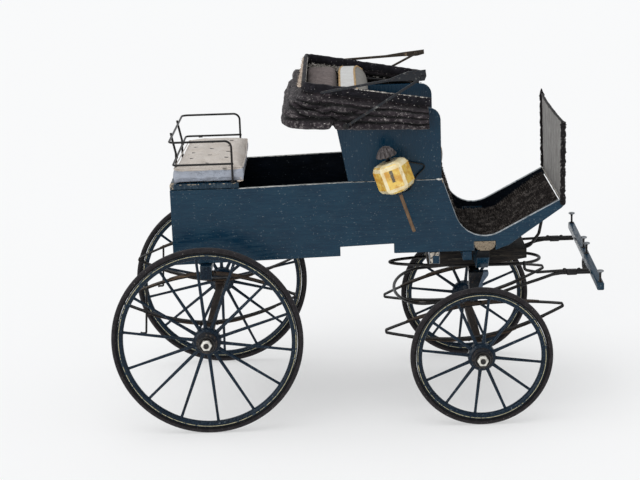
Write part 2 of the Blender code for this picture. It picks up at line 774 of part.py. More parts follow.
def rear_tufts():
    """Three staggered rows of tufts, from the cushion's middle."""
    rows = []
    pitch = REAR_CUSHION_HALF * 0.4021
    for row, along in enumerate((-0.0140, -0.0005, 0.0130)):
        shift = 0.0 if row % 2 == 0 else -pitch / 2
        for column in range(5 if row % 2 else 4):
            rows.append((along, pitch * (column - 1.5) + shift))
    return rows


def make_rear_seat():
    base = SIDE_TOP_REAR + FIT + REAR_BOARD_THICK + FIT
    pillow(
        "rear_seat_cushion", (ahead(REAR_CUSHION_BACK), -REAR_CUSHION_HALF, base),
        (ahead(REAR_CUSHION_FRONT), REAR_CUSHION_HALF, base + REAR_CUSHION_THICK), 10,
        REAR_CUSHION_CROWN, 0.012, "grey_leather", rear_tufts(), 0.0022, 0.0045)
    top_route = bent([
        (RAIL_FRONT, -RAIL_Y, base), (RAIL_FRONT, -RAIL_Y, RAIL_TOP_Z), (RAIL_BACK, -RAIL_Y, RAIL_TOP_Z),
        (RAIL_BACK, RAIL_Y, RAIL_TOP_Z), (RAIL_FRONT, RAIL_Y, RAIL_TOP_Z), (RAIL_FRONT, RAIL_Y, base)],
        RAIL_BEND, 3)
    rail = as_mesh(wire("rear_seat_rail", top_route, RAIL_RADIUS, "black_iron", fine=1))
    back = RAIL_BACK + 0.0022
    low_route = bent([
        (RAIL_FRONT, -RAIL_Y, RAIL_LOW_Z), (back, -RAIL_Y, RAIL_LOW_Z), (back, RAIL_Y, RAIL_LOW_Z),
        (RAIL_FRONT, RAIL_Y, RAIL_LOW_Z)], 0.0030, 3)
    joined = [as_mesh(wire("rear_seat_low_rail", low_route, RAIL_RADIUS * 0.97, "black_iron", fine=1))]
    for side, across in SIDES.items():
        post_y = across * RAIL_POST_Y
        joined.append(as_mesh(wire("rear_seat_post_" + side, bent([
            (RAIL_BACK - 0.0012, post_y, RAIL_TOP_Z + 0.0016), (RAIL_BACK - 0.0004, post_y, RAIL_TOP_Z - 0.0030),
            (back - 0.0004, post_y, RAIL_LOW_Z + 0.0030), (back - 0.0006, post_y, base + 0.0040),
            (back - 0.0002, post_y, base)], 0.0030, 2), RAIL_RADIUS * 1.08, "black_iron", fine=1)))
    combine(rail, joined)


def make_front_seat():
    base = SIDE_TOP + FIT
    outline = rounded([
        (SEAT_SIDE_BACK, base), (SEAT_SIDE_FRONT, base), (SEAT_SIDE_FRONT, SEAT_SIDE_TOP),
        (SEAT_SIDE_BACK_TOP, SEAT_SIDE_TOP)], [0, 0, SEAT_SIDE_CORNER, 0.004], 5)
    for side, across in SIDES.items():
        side_plate(
            "seat_side_" + side, [outline], across * (BODY_HALF - PANEL), across * BODY_HALF, "navy_paint")
    inside = BODY_HALF - PANEL - FIT
    lean = (SEAT_SIDE_BACK_TOP - SEAT_SIDE_BACK) / (SEAT_SIDE_TOP - base)
    back_thick = 0.0025
    seat_top = SEAT_BOARD_Z + SEAT_BOARD_THICK
    back_outline = [
        (SEAT_SIDE_BACK + SEAT_BACK_INSET, base), (SEAT_SIDE_BACK + SEAT_BACK_INSET + back_thick, base),
        (SEAT_SIDE_BACK_TOP + SEAT_BACK_INSET + back_thick, SEAT_SIDE_TOP),
        (SEAT_SIDE_BACK_TOP + SEAT_BACK_INSET, SEAT_SIDE_TOP)]
    side_plate("seat_back_board", [back_outline], -inside, inside, "navy_paint")
    board_back = SEAT_SIDE_BACK + SEAT_BACK_INSET + back_thick + lean * (SEAT_BOARD_Z - base) + 2 * FIT
    box("seat_board", (ahead(board_back), -inside, SEAT_BOARD_Z),
        (ahead(SEAT_SIDE_FRONT + 0.0008), inside, seat_top), "dark_wood")
    cushion_base = seat_top + FIT
    pillow(
        "seat_cushion", (ahead(board_back + 0.0012), -inside + 0.0002, cushion_base),
        (ahead(SEAT_SIDE_FRONT - 0.0004), inside - 0.0002, cushion_base + SEAT_CUSHION_THICK), 7,
        SEAT_CUSHION_CROWN, 0.010, "grey_leather")
    make_backrest(lean, back_thick)


def make_backrest(lean, back_thick):
    """A leaning cushion whose ends curve forward and whose top stands above the seat back."""
    shape = bmesh.new()
    bmesh.ops.create_cube(shape, size=2.0)
    bmesh.ops.subdivide_edges(shape, edges=shape.edges, cuts=8, use_grid_fill=True)
    half_high = (BACKREST_TOP - BACKREST_BOTTOM) / 2
    for vert in shape.verts:
        u, v, w = vert.co
        x = BACKREST_THICK / 2 * u * (1 - 0.10 * w * w)
        if u > 0:
            x += BACKREST_BULGE * u * (1 - w * w) * (1 - v ** 4)
        x += BACKREST_WRAP * abs(v) ** 7 * (0.4 + 0.3 * (w + 1))
        y = BACKREST_HALF * v * (1 - 0.010 * w ** 4)
        z = half_high * w * (1 - 0.02 * v ** 8)
        vert.co = (x + lean * z, y, z)
    mesh = bpy.data.meshes.new("backrest_cushion")
    shape.to_mesh(mesh)
    shape.free()
    obj = place("backrest_cushion", mesh, "grey_leather")
    middle_z = (BACKREST_TOP + BACKREST_BOTTOM) / 2
    board_front = SEAT_SIDE_BACK + SEAT_BACK_INSET + back_thick + lean * (middle_z - SIDE_TOP - FIT)
    obj.location = (ahead(board_front + FIT + BACKREST_THICK / 2), 0.0, middle_z)
    smooth(obj, 60)


def make_toe_well():
    inside = BODY_HALF - PANEL - FIT
    side_plate("toe_board", [strip_outline(toe_route(0.0), TOE_THICK)], -inside, inside, "navy_paint")
    carpet_line = toe_route(TOE_THICK + FIT)
    side_plate("toe_carpet", [strip_outline(carpet_line, CARPET_THICK)], -inside, inside, "carpet")
    foot = NOSE_Z + 0.0010
    board = [
        (-DASH_FOOT_HALF, foot), (DASH_FOOT_HALF, foot), (DASH_TOP_HALF, DASH_TOP), (-DASH_TOP_HALF, DASH_TOP)]
    wide = DASH_BINDING_WIDE
    opening = [
        (-DASH_FOOT_HALF + wide, foot - wide), (-DASH_TOP_HALF + wide, DASH_TOP - wide * 0.6),
        (DASH_TOP_HALF - wide, DASH_TOP - wide * 0.6), (DASH_FOOT_HALF - wide, foot - wide)]
    binding = [
        (-DASH_FOOT_HALF, foot), (-DASH_FOOT_HALF + wide, foot), opening[1], opening[2],
        (DASH_FOOT_HALF - wide, foot), (DASH_FOOT_HALF, foot), board[2], board[3]]
    leather = as_mesh(front_plate(
        "dash_leather", [board], DASH_AHEAD - DASH_BOARD / 2, DASH_AHEAD + DASH_BOARD / 2, "dash_leather"))
    edge = as_mesh(front_plate(
        "dash_binding", [binding], DASH_AHEAD - DASH_BINDING / 2, DASH_AHEAD + DASH_BINDING / 2, "hood_cloth"))
    thin = DASH_BOARD / 2 - 0.0001
    tongue = as_mesh(box(
        "dash_tongue", (ahead(DASH_AHEAD - thin), -inside, foot - DASH_TONGUE),
        (ahead(DASH_AHEAD + thin), inside, foot + 0.0012), "dash_leather"))
    combine(leather, [edge, tongue])


def lamp_point(along):
    """A point on the lamp's own leaning axis, in side view."""
    return (LAMP_AHEAD + along * math.sin(LAMP_TILT), LAMP_Z + along * math.cos(LAMP_TILT))


def make_lamps():
    for side, across in SIDES.items():
        lamp_y = across * LAMP_Y
        centre = (ahead(LAMP_AHEAD), lamp_y, LAMP_Z)
        bead = turned("lamp_bead_" + side, [
            (0.0, LAMP_HALF + LAMP_SHOULDER), (LAMP_RADIUS * 0.72, LAMP_HALF + LAMP_SHOULDER),
            (LAMP_RADIUS, LAMP_HALF), (LAMP_RADIUS, -LAMP_HALF), (LAMP_RADIUS * 0.62, -LAMP_HALF - LAMP_POINT),
            (0.0, -LAMP_HALF - LAMP_POINT)], centre, (0.0, LAMP_TILT, 0.0), LAMP_FACETS, "amber")
        bead.modifiers["turn"].use_smooth_shade = False
        cap_x, cap_z = lamp_point(LAMP_HALF + LAMP_SHOULDER + FIT)
        turned("lamp_cap_" + side, [
            (0.0, LAMP_CAP_STEM + LAMP_CAP_HEIGHT),
            (LAMP_CAP_RADIUS * 0.35, LAMP_CAP_STEM + LAMP_CAP_HEIGHT * 0.9),
            (LAMP_CAP_RADIUS, LAMP_CAP_STEM), (LAMP_CAP_RADIUS * 0.9, LAMP_CAP_STEM - 0.0008),
            (0.0014, LAMP_CAP_STEM - 0.0004), (0.0014, 0.0), (0.0, 0.0)],
            (ahead(cap_x), lamp_y, cap_z), (0.0, LAMP_CAP_TILT, 0.0), ROUND_STEPS, "black_iron")
        start = -LAMP_HALF - LAMP_POINT - FIT
        end = start - LAMP_ROD_LENGTH
        top_x, top_z = lamp_point(start)
        tip_x, tip_z = lamp_point(end)
        collar_x, collar_z = lamp_point(start - 0.0024)
        rod = cylinder("lamp_stem_" + side, (ahead(top_x), lamp_y, top_z), (ahead(tip_x), lamp_y, tip_z),
                       LAMP_ROD_RADIUS, "copper", sides=10)
        ferrule = cylinder(
            "lamp_ferrule_" + side, (ahead(top_x), lamp_y, top_z), (ahead(collar_x), lamp_y, collar_z),
            LAMP_ROD_RADIUS * 1.7, "black_iron", sides=10)
        near_y = across * (BODY_HALF + FIT + 0.0006)
        hook_x, hook_z = lamp_point(start - 0.0012)
        hook = as_mesh(wire("lamp_hook_" + side, bent([
            (LAMP_AHEAD + 0.0110, near_y, LAMP_Z + 0.0068), (LAMP_AHEAD + 0.0250, near_y, LAMP_Z + 0.0038),
            (LAMP_AHEAD + 0.0170, near_y, LAMP_Z - 0.0040), (LAMP_AHEAD + 0.0120, near_y, LAMP_Z - 0.0140),
            (hook_x + 0.0016, across * (LAMP_Y - 0.0060), hook_z - 0.0008),
            (hook_x, lamp_y, hook_z)], 0.0022, 3), 0.0006, "black_iron", fine=1))
        combine(rod, [ferrule, hook])


def bow_route(shape, across_y, lift):
    """A U-shaped bow from one pivot, back round the seat, to the other, its left side lifted."""
    back, corner_z, knee_z = shape
    knee = HOOD_AHEAD - 0.0070
    start = HOOD_AHEAD - 0.0004
    return bent([
        (start, -across_y, HOOD_Z + 0.0020), (knee, -across_y, knee_z), (back, -across_y, corner_z),
        (back, across_y, corner_z + lift), (knee, across_y, knee_z + lift * 0.2),
        (start, across_y, HOOD_Z + 0.0020)], 0.0045, 4)


def make_bow(name, shape, place_in_stack, lift=0.0):
    across_y = BOW_FIRST_Y + BOW_PITCH * place_in_stack
    bow = as_mesh(wire(name, bow_route(shape, across_y, lift), BOW_RADIUS, "black_iron", fine=1))
    eyes = []
    hole = PIN_RADIUS + FIT
    outside = hole + 0.0014
    for side, across in SIDES.items():
        centre = (ahead(HOOD_AHEAD), across * across_y, HOOD_Z)
        eyes.append(turned(
            name + "_eye_" + side,
            [(outside, EYE_HALF), (outside, -EYE_HALF), (hole, -EYE_HALF), (hole, EYE_HALF)],
            centre, (math.pi / 2, 0.0, 0.0), ROUND_STEPS, "black_iron"))
    combine(bow, eyes)
    turn = pivot(name + "_turn", (ahead(HOOD_AHEAD), 0.0, HOOD_Z))
    carry(turn, [bow])


def headed_pin(name, across, from_y, to_y, at_ahead, at_z, head_at):
    """A round pin that stands out of a side, with a flat head."""
    return turned(name, [
        (0.0, to_y), (PIN_RADIUS, to_y), (PIN_RADIUS, head_at + PIN_HEAD),
        (PIN_HEAD_RADIUS, head_at + PIN_HEAD),
        (PIN_HEAD_RADIUS, head_at), (PIN_RADIUS, head_at), (PIN_RADIUS, from_y), (0.0, from_y)],
        (ahead(at_ahead), 0.0, at_z), (-across * math.pi / 2, 0.0, 0.0), ROUND_STEPS, "black_iron")


def cover_section(back_share, bottom, top, thick):
    """One cut through the folded cover: plain inside, rolls outside. Points are (outward, height)."""
    inner = -thick / 2
    outer = thick / 2
    slant = COVER_TOP_SLANT * back_share
    high = (top - bottom) / COVER_ROLLS
    section = [(inner, bottom + 0.0012), (inner, (bottom + top) / 2), (inner, top - 0.0006)]
    section.append((inner + 0.0024, top))
    for roll in range(COVER_ROLLS):
        upper = top - roll * high
        drawn = slant * (1 - roll / COVER_ROLLS) ** 2
        section.append((outer - 0.0012 - drawn, upper - high * 0.12))
        section.append((outer - drawn * 0.7, upper - high * 0.50))
        section.append((outer - 0.0012 - drawn * 0.5, upper - high * 0.86))
        if roll < COVER_ROLLS - 1:
            section.append((outer - 0.0034 - drawn * 0.4, upper - high))
    section.append((inner + 0.0030, bottom))
    return section


def make_cover():
    """The folded hood cloth: a U round the back of the seat, outside the bows."""
    side_line = COVER_INSIDE + COVER_SIDE_THICK / 2
    back_line = COVER_BACK + COVER_BACK_THICK / 2
    corner = COVER_CORNER
    stations = []
    front_runs = 8
    for step in range(front_runs):
        along = COVER_FRONT + (back_line + corner - COVER_FRONT) * step / front_runs
        stations.append(((along, -side_line), (0.0, -1.0)))
    for step in range(7):
        angle = math.pi / 2 * step / 6
        out = (-math.sin(angle), -math.cos(angle))
        middle = (back_line + corner, -side_line + corner)
        stations.append(((middle[0] + out[0] * corner, middle[1] + out[1] * corner), out))
    for step in range(1, 3):
        stations.append(((back_line, (-side_line + corner) * (1 - step / 3)), (-1.0, 0.0)))
    mirrored = [((along, -across), (out[0], -out[1])) for (along, across), out in stations]
    stations = stations + [((back_line, 0.0), (-1.0, 0.0))] + mirrored[::-1]
    shape = bmesh.new()
    rings = []
    for (along, across), out in stations:
        share = (COVER_FRONT - along) / (COVER_FRONT - back_line)
        top = COVER_TOP_FRONT + (COVER_TOP_BACK - COVER_TOP_FRONT) * share
        thick = COVER_SIDE_THICK + (COVER_BACK_THICK - COVER_SIDE_THICK) * max(0.0, -out[0])
        bottom = COVER_BOTTOM + 0.0012 * share
        ring = []
        for outward, height in cover_section(max(0.0, -out[0]), bottom, top, thick):
            point = (ahead(along + out[0] * outward), across + out[1] * outward, height)
            ring.append(shape.verts.new(point))
        rings.append(ring)
    for first, second in zip(rings, rings[1:]):
        for index in range(len(first)):
            after = (index + 1) % len(first)
            shape.faces.new((first[index], first[after], second[after], second[index]))
    shape.faces.new(rings[0][::-1])
    shape.faces.new(rings[-1])
    bmesh.ops.recalc_face_normals(shape, faces=shape.faces)
    mesh = bpy.data.meshes.new("hood_cover")
    shape.to_mesh(mesh)
    shape.free()
    cover = place("hood_cover", mesh, "hood_cloth")
    reach = COVER_INSIDE + COVER_SIDE_THICK + 0.0040
    cutters = []
    gap = PIN_HEAD_RADIUS + FIT
    for side, across in SIDES.items():
        ends = sorted((across * (COVER_INSIDE - 0.0020), across * reach))
        cutters.append(box(
            "stay_pin_gap_" + side, (ahead(STAY_PIN_AHEAD - gap), ends[0], COVER_BOTTOM - 0.0100),
            (ahead(STAY_PIN_AHEAD + gap), ends[1], STAY_PIN_Z + gap), "hood_cloth"))
    combine(cover, cutters, "DIFFERENCE")
    smooth(cover, 50)


def eye_bar(start, end, wide, eye_start, eye_end):
    """The outline of a bar with a round eye at each end."""
    run = Vector(end) - Vector(start)
    slant = math.atan2(run.y, run.x)
    outline = []
    for centre, radius, facing in ((start, eye_start, slant + math.pi), (end, eye_end, slant)):
        open_half = math.asin(min(1.0, wide / 2 / radius))
        first = facing - math.pi + open_half
        last = facing + math.pi - open_half
        outline += arc_points(centre, radius, first, last, 8)
    return outline


def stay_elbow(side):
    """Where the two links of one stay meet, in side view."""
    slope = LOWER_STAY_SLOPE[side]
    reach = LOWER_STAY_LENGTH
    return (STAY_PIN_AHEAD + reach * math.cos(slope), STAY_PIN_Z + reach * math.sin(slope))


def upper_link(elbow, side):
    """The outline of the upper link: a rod that widens to a flat plate over the elbow."""
    slope = UPPER_STAY_SLOPE[side]
    back = Vector((-math.cos(slope), -math.sin(slope)))
    up = Vector((-math.sin(slope), math.cos(slope)))
    crank = UPPER_STAY_CRANK[side]
    half = LINK_WIDE / 2
    nose = PLATE_NOSE[side]
    top = PLATE_NOSE_TOP[side]
    cheek = LINK_EYE * 0.9
    corners = [
        (-nose, top - PLATE_NOSE_DEEP[side]), (-cheek / 2, -cheek), (cheek, -cheek),
        (UPPER_STAY_PLATE * 0.45, PLATE_BELLY[side]), (UPPER_STAY_PLATE, crank - half),
        (UPPER_STAY_LENGTH, -half), (UPPER_STAY_LENGTH + 0.0012, 0.0), (UPPER_STAY_LENGTH, half),
        (UPPER_STAY_PLATE, crank + half), (UPPER_STAY_PLATE * 0.42, PLATE_TOP[side]), (-nose, top)]
    return [tuple(Vector(elbow) + back * along + up * rise) for along, rise in corners]


def make_stays():
    lower_in = COVER_INSIDE + COVER_SIDE_THICK + 0.0008 + FIT
    lower_out = lower_in + LINK_THICK
    upper_in = lower_out + FIT
    upper_out = upper_in + LINK_THICK
    hole = PIN_RADIUS + FIT
    elbow_pin = PIN_RADIUS * 0.8
    bow_out = BOW_FIRST_Y + BOW_PITCH * 2 + EYE_HALF
    stay_pin = (STAY_PIN_AHEAD, STAY_PIN_Z)
    for side, across in SIDES.items():
        elbow = stay_elbow(side)
        headed_pin("hood_pivot_" + side, across, BODY_HALF + FIT, bow_out + FIT + PIN_HEAD + 0.0004,
                   HOOD_AHEAD, HOOD_Z, bow_out + FIT)
        headed_pin("stay_pin_" + side, across, BODY_HALF + FIT, lower_out + FIT + PIN_HEAD + 0.0004,
                   STAY_PIN_AHEAD, STAY_PIN_Z, lower_out + FIT)
        lower = as_mesh(side_plate(
            "hood_stay_lower_" + side, [eye_bar(stay_pin, elbow, LINK_WIDE, LINK_EYE, LINK_EYE * 0.8),
                                        circle_points(stay_pin, hole)],
            across * lower_in, across * lower_out, "black_iron"))
        pin = turned("elbow_pin_" + side, [
            (0.0, upper_out + FIT + PIN_HEAD), (PIN_HEAD_RADIUS * 0.85, upper_out + FIT + PIN_HEAD),
            (PIN_HEAD_RADIUS * 0.85, upper_out + FIT), (elbow_pin, upper_out + FIT),
            (elbow_pin, lower_in + 0.0004), (0.0, lower_in + 0.0004)],
            (ahead(elbow[0]), 0.0, elbow[1]), (-across * math.pi / 2, 0.0, 0.0), ROUND_STEPS, "black_iron")
        combine(lower, [pin])
        upper = side_plate(
            "hood_stay_upper_" + side, [upper_link(elbow, side), circle_points(elbow, elbow_pin + FIT)],
            across * upper_in, across * upper_out, "black_iron")
        lower_turn = pivot(
            "hood_stay_lower_turn_" + side, (ahead(STAY_PIN_AHEAD), across * lower_in, STAY_PIN_Z))
        upper_turn = pivot("hood_stay_upper_turn_" + side, (ahead(elbow[0]), across * upper_in, elbow[1]))
        carry(lower_turn, [lower, upper_turn])
        carry(upper_turn, [upper])


def make_hood():
    make_bow("hood_bow_rear", REAR_BOW, 0)
    make_bow("hood_bow_middle", MIDDLE_BOW, 1)
    make_bow("hood_bow_front", FRONT_BOW, 2, FRONT_BOW_LIFT)
    make_cover()
    make_stays()


def half_oval(back, front, top, deep, steps=8):
    """A flat-topped oval outline, as the end of a rounded bolster."""
    middle = (back + front) / 2
    reach = (front - back) / 2
    outline = []
    for step in range(steps + 1):
        angle = math.pi + math.pi * step / steps
        outline.append((middle + reach * math.cos(angle), top - deep * 0.25 + deep * 0.75 * math.sin(angle)))
    return outline + [(front, top), (back, top)]


def make_perch():
    bar_top = SIDE_BOTTOM - FIT
    bar_bottom = bar_top - CROSS_BAR_HIGH
    bars = (
        ("cross_bar_rear", REAR_CROSS_BAR, CROSS_BAR_HIGH),
        ("cross_bar_front", FRONT_CROSS_BAR, FRONT_CROSS_BAR_HIGH))
    for name, middle, tall in bars:
        low = (ahead(middle - CROSS_BAR_WIDE / 2), -BODY_HALF, bar_top - tall)
        high = (ahead(middle + CROSS_BAR_WIDE / 2), BODY_HALF, bar_top)
        box(name, low, high, "navy_paint", 0.0006)
    perch_top = bar_bottom - FIT
    perch_outline = [
        (REAR_CROSS_BAR - CROSS_BAR_WIDE / 2, PERCH_BOTTOM), (PERCH_RISE, PERCH_BOTTOM),
        (PERCH_FRONT, PERCH_NOSE_BOTTOM), (PERCH_FRONT, perch_top),
        (REAR_CROSS_BAR - CROSS_BAR_WIDE / 2, perch_top)]
    perch = as_mesh(side_plate("perch_board", [perch_outline], -PERCH_HALF, PERCH_HALF, "brown_paint"))
    drill = cylinder(
        "king_bolt_hole", (ahead(WHEELBASE), 0.0, PERCH_BOTTOM - 0.01),
        (ahead(WHEELBASE), 0.0, perch_top + 0.01), KING_BOLT_RADIUS + FIT, "brown_paint")
    combine(perch, [drill], "DIFFERENCE")
    make_transom(perch_top)
    widest = LOOP_FRONT - LOOP_FRONT_CURVE
    route = []
    for across, along in arc_points((0.0, 0.0), 1.0, 0.0, math.pi, 9)[:-1]:
        route.append((widest + along * LOOP_FRONT_CURVE, across * LOOP_HALF, LOOP_Z))
    for across, along in arc_points((0.0, 0.0), 1.0, math.pi, 2 * math.pi, 12)[:-1]:
        route.append((widest + along * (widest - LOOP_BACK), across * LOOP_HALF, LOOP_Z))
    wire("upper_loop", route, LOOP_RADIUS, "black_iron", closed=True)
    perch_nose = PERCH_FRONT + FIT
    stay_top = ramp_height(PERCH_FRONT + 0.0099) - 0.0025
    stay_foot = PERCH_NOSE_BOTTOM + 0.0032
    wire("toe_stay", bent([
        (PERCH_FRONT + 0.0099, 0.0, stay_top), (PERCH_FRONT + 0.0139, 0.0, stay_top - 0.0114),
        (PERCH_FRONT + 0.0115, 0.0, stay_foot + 0.0105), (PERCH_FRONT + 0.0045, 0.0, stay_foot + 0.0012),
        (perch_nose, 0.0, stay_foot)], 0.0060, 4), TOE_STAY_RADIUS, "black_iron")


def make_transom(perch_top):
    top = SIDE_BOTTOM - FIT
    slot = PERCH_HALF + FIT
    slot_top = perch_top + FIT
    outline = [
        (-TRANSOM_HALF, TRANSOM_BOTTOM), (-slot, TRANSOM_BOTTOM), (-slot, slot_top), (slot, slot_top),
        (slot, TRANSOM_BOTTOM), (TRANSOM_HALF, TRANSOM_BOTTOM), (BODY_HALF - 0.0006, top - 0.0052),
        (BODY_HALF - 0.0006, top), (-BODY_HALF + 0.0006, top), (-BODY_HALF + 0.0006, top - 0.0052)]
    transom = as_mesh(front_plate("front_transom", [outline], TRANSOM_BACK, TRANSOM_FRONT, "navy_paint"))
    end_outline = half_oval(TRANSOM_END_BACK, TRANSOM_END_FRONT, TRANSOM_END_TOP, TRANSOM_END_DEEP)
    ends = []
    for side, across in SIDES.items():
        ends.append(as_mesh(side_plate(
            "transom_end_" + side, [end_outline], across * (BODY_HALF - PANEL), across * (BODY_HALF + 0.0008),
            "navy_paint")))
    combine(transom, ends)


def make_fore_carriage():
    turn = pivot("fore_carriage_turn", (ahead(WHEELBASE), 0.0, FRONT_RADIUS))
    axle_top = FRONT_RADIUS + AXLE_SIDE / 2
    axle = make_axle("front_axle", WHEELBASE, FRONT_RADIUS, None)
    leaves = LEAF_THICK / 2 + 2 * LEAF_STEP
    springs = []
    tops = []
    for side, across in SIDES.items():
        tilt = FRONT_SPRING_TILT[side]
        down = FRONT_SPRING_DOWN[side]
        up = FRONT_SPRING_HIGH - down
        spring_z = axle_top + FIT + (down + leaves) / math.cos(tilt)
        tops.append(spring_z + up + leaves)
        outlines = spring_outlines(
            FRONT_SPRING_HALF[side], up, down, tilt, (WHEELBASE - FRONT_SPRING_BACK, spring_z))
        middle = across * FRONT_SPRING_Y
        springs.append(side_plate(
            "front_spring_" + side, outlines, middle - LEAF_WIDTH / 2, middle + LEAF_WIDTH / 2, "spring_wood"))
    spring_top = max(tops)
    iron_z = spring_top + FIT + TURN_IRON_RADIUS + 0.0004
    iron = make_turn_iron(iron_z)
    bed_top = LOOP_Z - LOOP_RADIUS - FIT
    bed_bottom = iron_z + TURN_IRON_RADIUS + FIT + 0.0004
    post_top = TRANSOM_BOTTOM - 2 * FIT
    inner = BED_HALF - BED_END
    bed = as_mesh(front_plate("front_bed", [[
        (-BED_HALF, bed_bottom), (-inner, bed_bottom), (-inner + BED_END / 2, bed_top - BED_OVER_ARCH),
        (inner - BED_END / 2, bed_top - BED_OVER_ARCH), (inner, bed_bottom), (BED_HALF, bed_bottom),
        (BED_HALF, post_top), (inner, post_top), (inner - BED_END / 2, bed_top),
        (-inner + BED_END / 2, bed_top), (-inner, post_top), (-BED_HALF, post_top)]],
        BED_BACK, BED_FRONT, "navy_paint"))
    ends = []
    narrow = BED_END_BACK + (BED_END_FRONT - BED_END_BACK) * 0.5
    outline = rounded([
        (BED_END_BACK, bed_bottom), (narrow, bed_bottom), (narrow + 0.0010, bed_bottom + 0.0090),
        (BED_END_FRONT, bed_top + 0.0040), (BED_END_FRONT, post_top), (BED_END_BACK, post_top)],
        [0, 0, 0.004, 0.004, 0, 0], 4)
    for side, across in SIDES.items():
        ends.append(as_mesh(side_plate(
            "bed_end_" + side, [outline], across * inner, across * (BED_HALF + 0.0002), "navy_paint")))
    combine(bed, ends)
    drill = cylinder(
        "bed_hole", (ahead(WHEELBASE), 0.0, bed_bottom - 0.01),
        (ahead(WHEELBASE), 0.0, bed_top + 0.01), KING_BOLT_RADIUS + FIT, "navy_paint")
    combine(bed, [drill], "DIFFERENCE")
    bolt_top = SIDE_BOTTOM - CROSS_BAR_HIGH - 3 * FIT
    bolt_bottom = bed_bottom - 0.0034
    head = bolt_bottom - 0.0020
    turned("king_bolt", [
        (0.0, bolt_top), (KING_BOLT_RADIUS, bolt_top), (KING_BOLT_RADIUS, bolt_bottom),
        (KING_BOLT_RADIUS * 1.8, bolt_bottom), (KING_BOLT_RADIUS * 1.8, head), (0.0, head)],
        (ahead(WHEELBASE), 0.0, 0.0), (0.0, 0.0, 0.0), ROUND_STEPS, "black_iron")
    splinter = make_splinter_bar()
    carry(turn, [axle, bed, iron] + springs + splinter)
    return turn


def splinter_offset(across_y):
    """How far ahead and up the skewed splinter bar stands from its middle, at a place across."""
    share = across_y / SPLINTER_HALF / 2
    return SPLINTER_SKEW * share, SPLINTER_RISE * share


def make_turn_iron(iron_z):
    """A long iron loop: round the back, over the springs and on to the splinter bar."""
    slope = (iron_z - TURN_IRON_BACK_Z) / (WHEELBASE - TURN_IRON_BACK)
    rise = FUTCHELL_Z - iron_z
    bar_back = SPLINTER_AHEAD - SPLINTER_WIDE / 2 - FIT - 0.0001
    ends = {side: bar_back + splinter_offset(across * TURN_IRON_Y)[0] for side, across in SIDES.items()}
    arm = [(FUTCHELL_LEVEL, FUTCHELL_Z)]
    for forward, share in ((0.0558, 0.95), (0.0448, 0.74), (0.0298, 0.48), (0.0198, 0.28), (0.0088, 0.05)):
        arm.append((WHEELBASE + forward, iron_z + rise * share))
    route = []
    for side, across in SIDES.items():
        limb = [(ends[side], across * TURN_IRON_Y, FUTCHELL_Z)]
        limb += [(along, across * TURN_IRON_Y, up) for along, up in arm]
        route += limb if side == "right" else []
        if side == "right":
            for step in range(13):
                turn = math.pi * step / 12
                along = TURN_IRON_BACK + TURN_IRON_CURVE * (1 - math.sin(turn))
                up = iron_z + slope * (along - WHEELBASE)
                route.append((along, -TURN_IRON_Y * math.cos(turn), up))
        else:
            route += limb[::-1]
    iron = as_mesh(wire("turntable_iron", route, TURN_IRON_RADIUS, "black_iron", fine=1))
    scrolls = []
    for side, across in SIDES.items():
        stay_y = across * (TURN_IRON_Y - 0.0004)
        top = FUTCHELL_Z + 0.0017
        scrolls.append(as_mesh(wire("futchell_stay_" + side, bent([
            (ends[side] - 0.0010, stay_y, top), (FUTCHELL_LEVEL, stay_y, top),
            (WHEELBASE + 0.0448, stay_y, top - 0.0006), (WHEELBASE + 0.0353, stay_y - across * 0.0020, top + 0.0010),
            (WHEELBASE + 0.0358, stay_y - across * 0.0060, top + 0.0064)],
            0.0022, 4), TURN_IRON_RADIUS * 0.93, "black_iron", fine=1)))
    combine(iron, scrolls)
    return iron


def make_splinter_bar():
    """The bar across the front with its roller bolts: it lies a little askew."""
    middle = Vector((ahead(SPLINTER_AHEAD), 0.0, SPLINTER_Z))
    turn = (math.atan(SPLINTER_RISE / SPLINTER_HALF / 2), 0.0, -math.atan(SPLINTER_SKEW / SPLINTER_HALF / 2))
    half = Vector((SPLINTER_WIDE / 2, SPLINTER_HALF, SPLINTER_THICK / 2))
    bar = box("splinter_bar", middle - half, middle + half, "navy_paint", 0.0010)
    bar.rotation_euler = turn
    bolts = []
    for index, across in enumerate((-ROLLER_OUTER_Y, -ROLLER_INNER_Y, ROLLER_INNER_Y, ROLLER_OUTER_Y)):
        on, up = splinter_offset(across)
        bolts.append(turned("roller_bolt_" + str(index), [
            (0.0, ROLLER_HIGH), (ROLLER_HEAD_RADIUS, ROLLER_HIGH),
            (ROLLER_HEAD_RADIUS * 0.8, ROLLER_HIGH - 0.0010),
            (ROLLER_RADIUS, ROLLER_HIGH - 0.0018), (ROLLER_RADIUS, -0.0020), (0.0, -0.0020)],
            middle + Vector((on, across, up + half.z)), (0.0, 0.0, 0.0), 10, "black_iron"))
    combine(bar, bolts)
    reach = SOCKET_LENGTH / 2
    socket = turned("pole_socket", [
        (SOCKET_RADIUS, reach), (SOCKET_RADIUS, -reach), (SOCKET_BORE, -reach), (SOCKET_BORE, reach)],
        middle - Vector((0.0, 0.0, half.z + FIT + 0.0001 + SOCKET_RADIUS)), (0.0, math.pi / 2, 0.0),
        ROUND_STEPS, "black_iron")
    return [bar, socket]


def main():
    make_body()
    make_rear_seat()
    make_front_seat()
    make_toe_well()
    make_lamps()
    make_hood()
    make_rear_gear()
    make_perch()
    fore = make_fore_carriage()
    front_wheels = []
    for side in SIDES:
        make_wheel("rear", side, 0.0, REAR_RADIUS, REAR_SPOKES, REAR_PHASE[side])
        front_wheels.append(make_wheel("front", side, WHEELBASE, FRONT_RADIUS, FRONT_SPOKES, FRONT_PHASE[side]))
    carry(fore, front_wheels)


main()
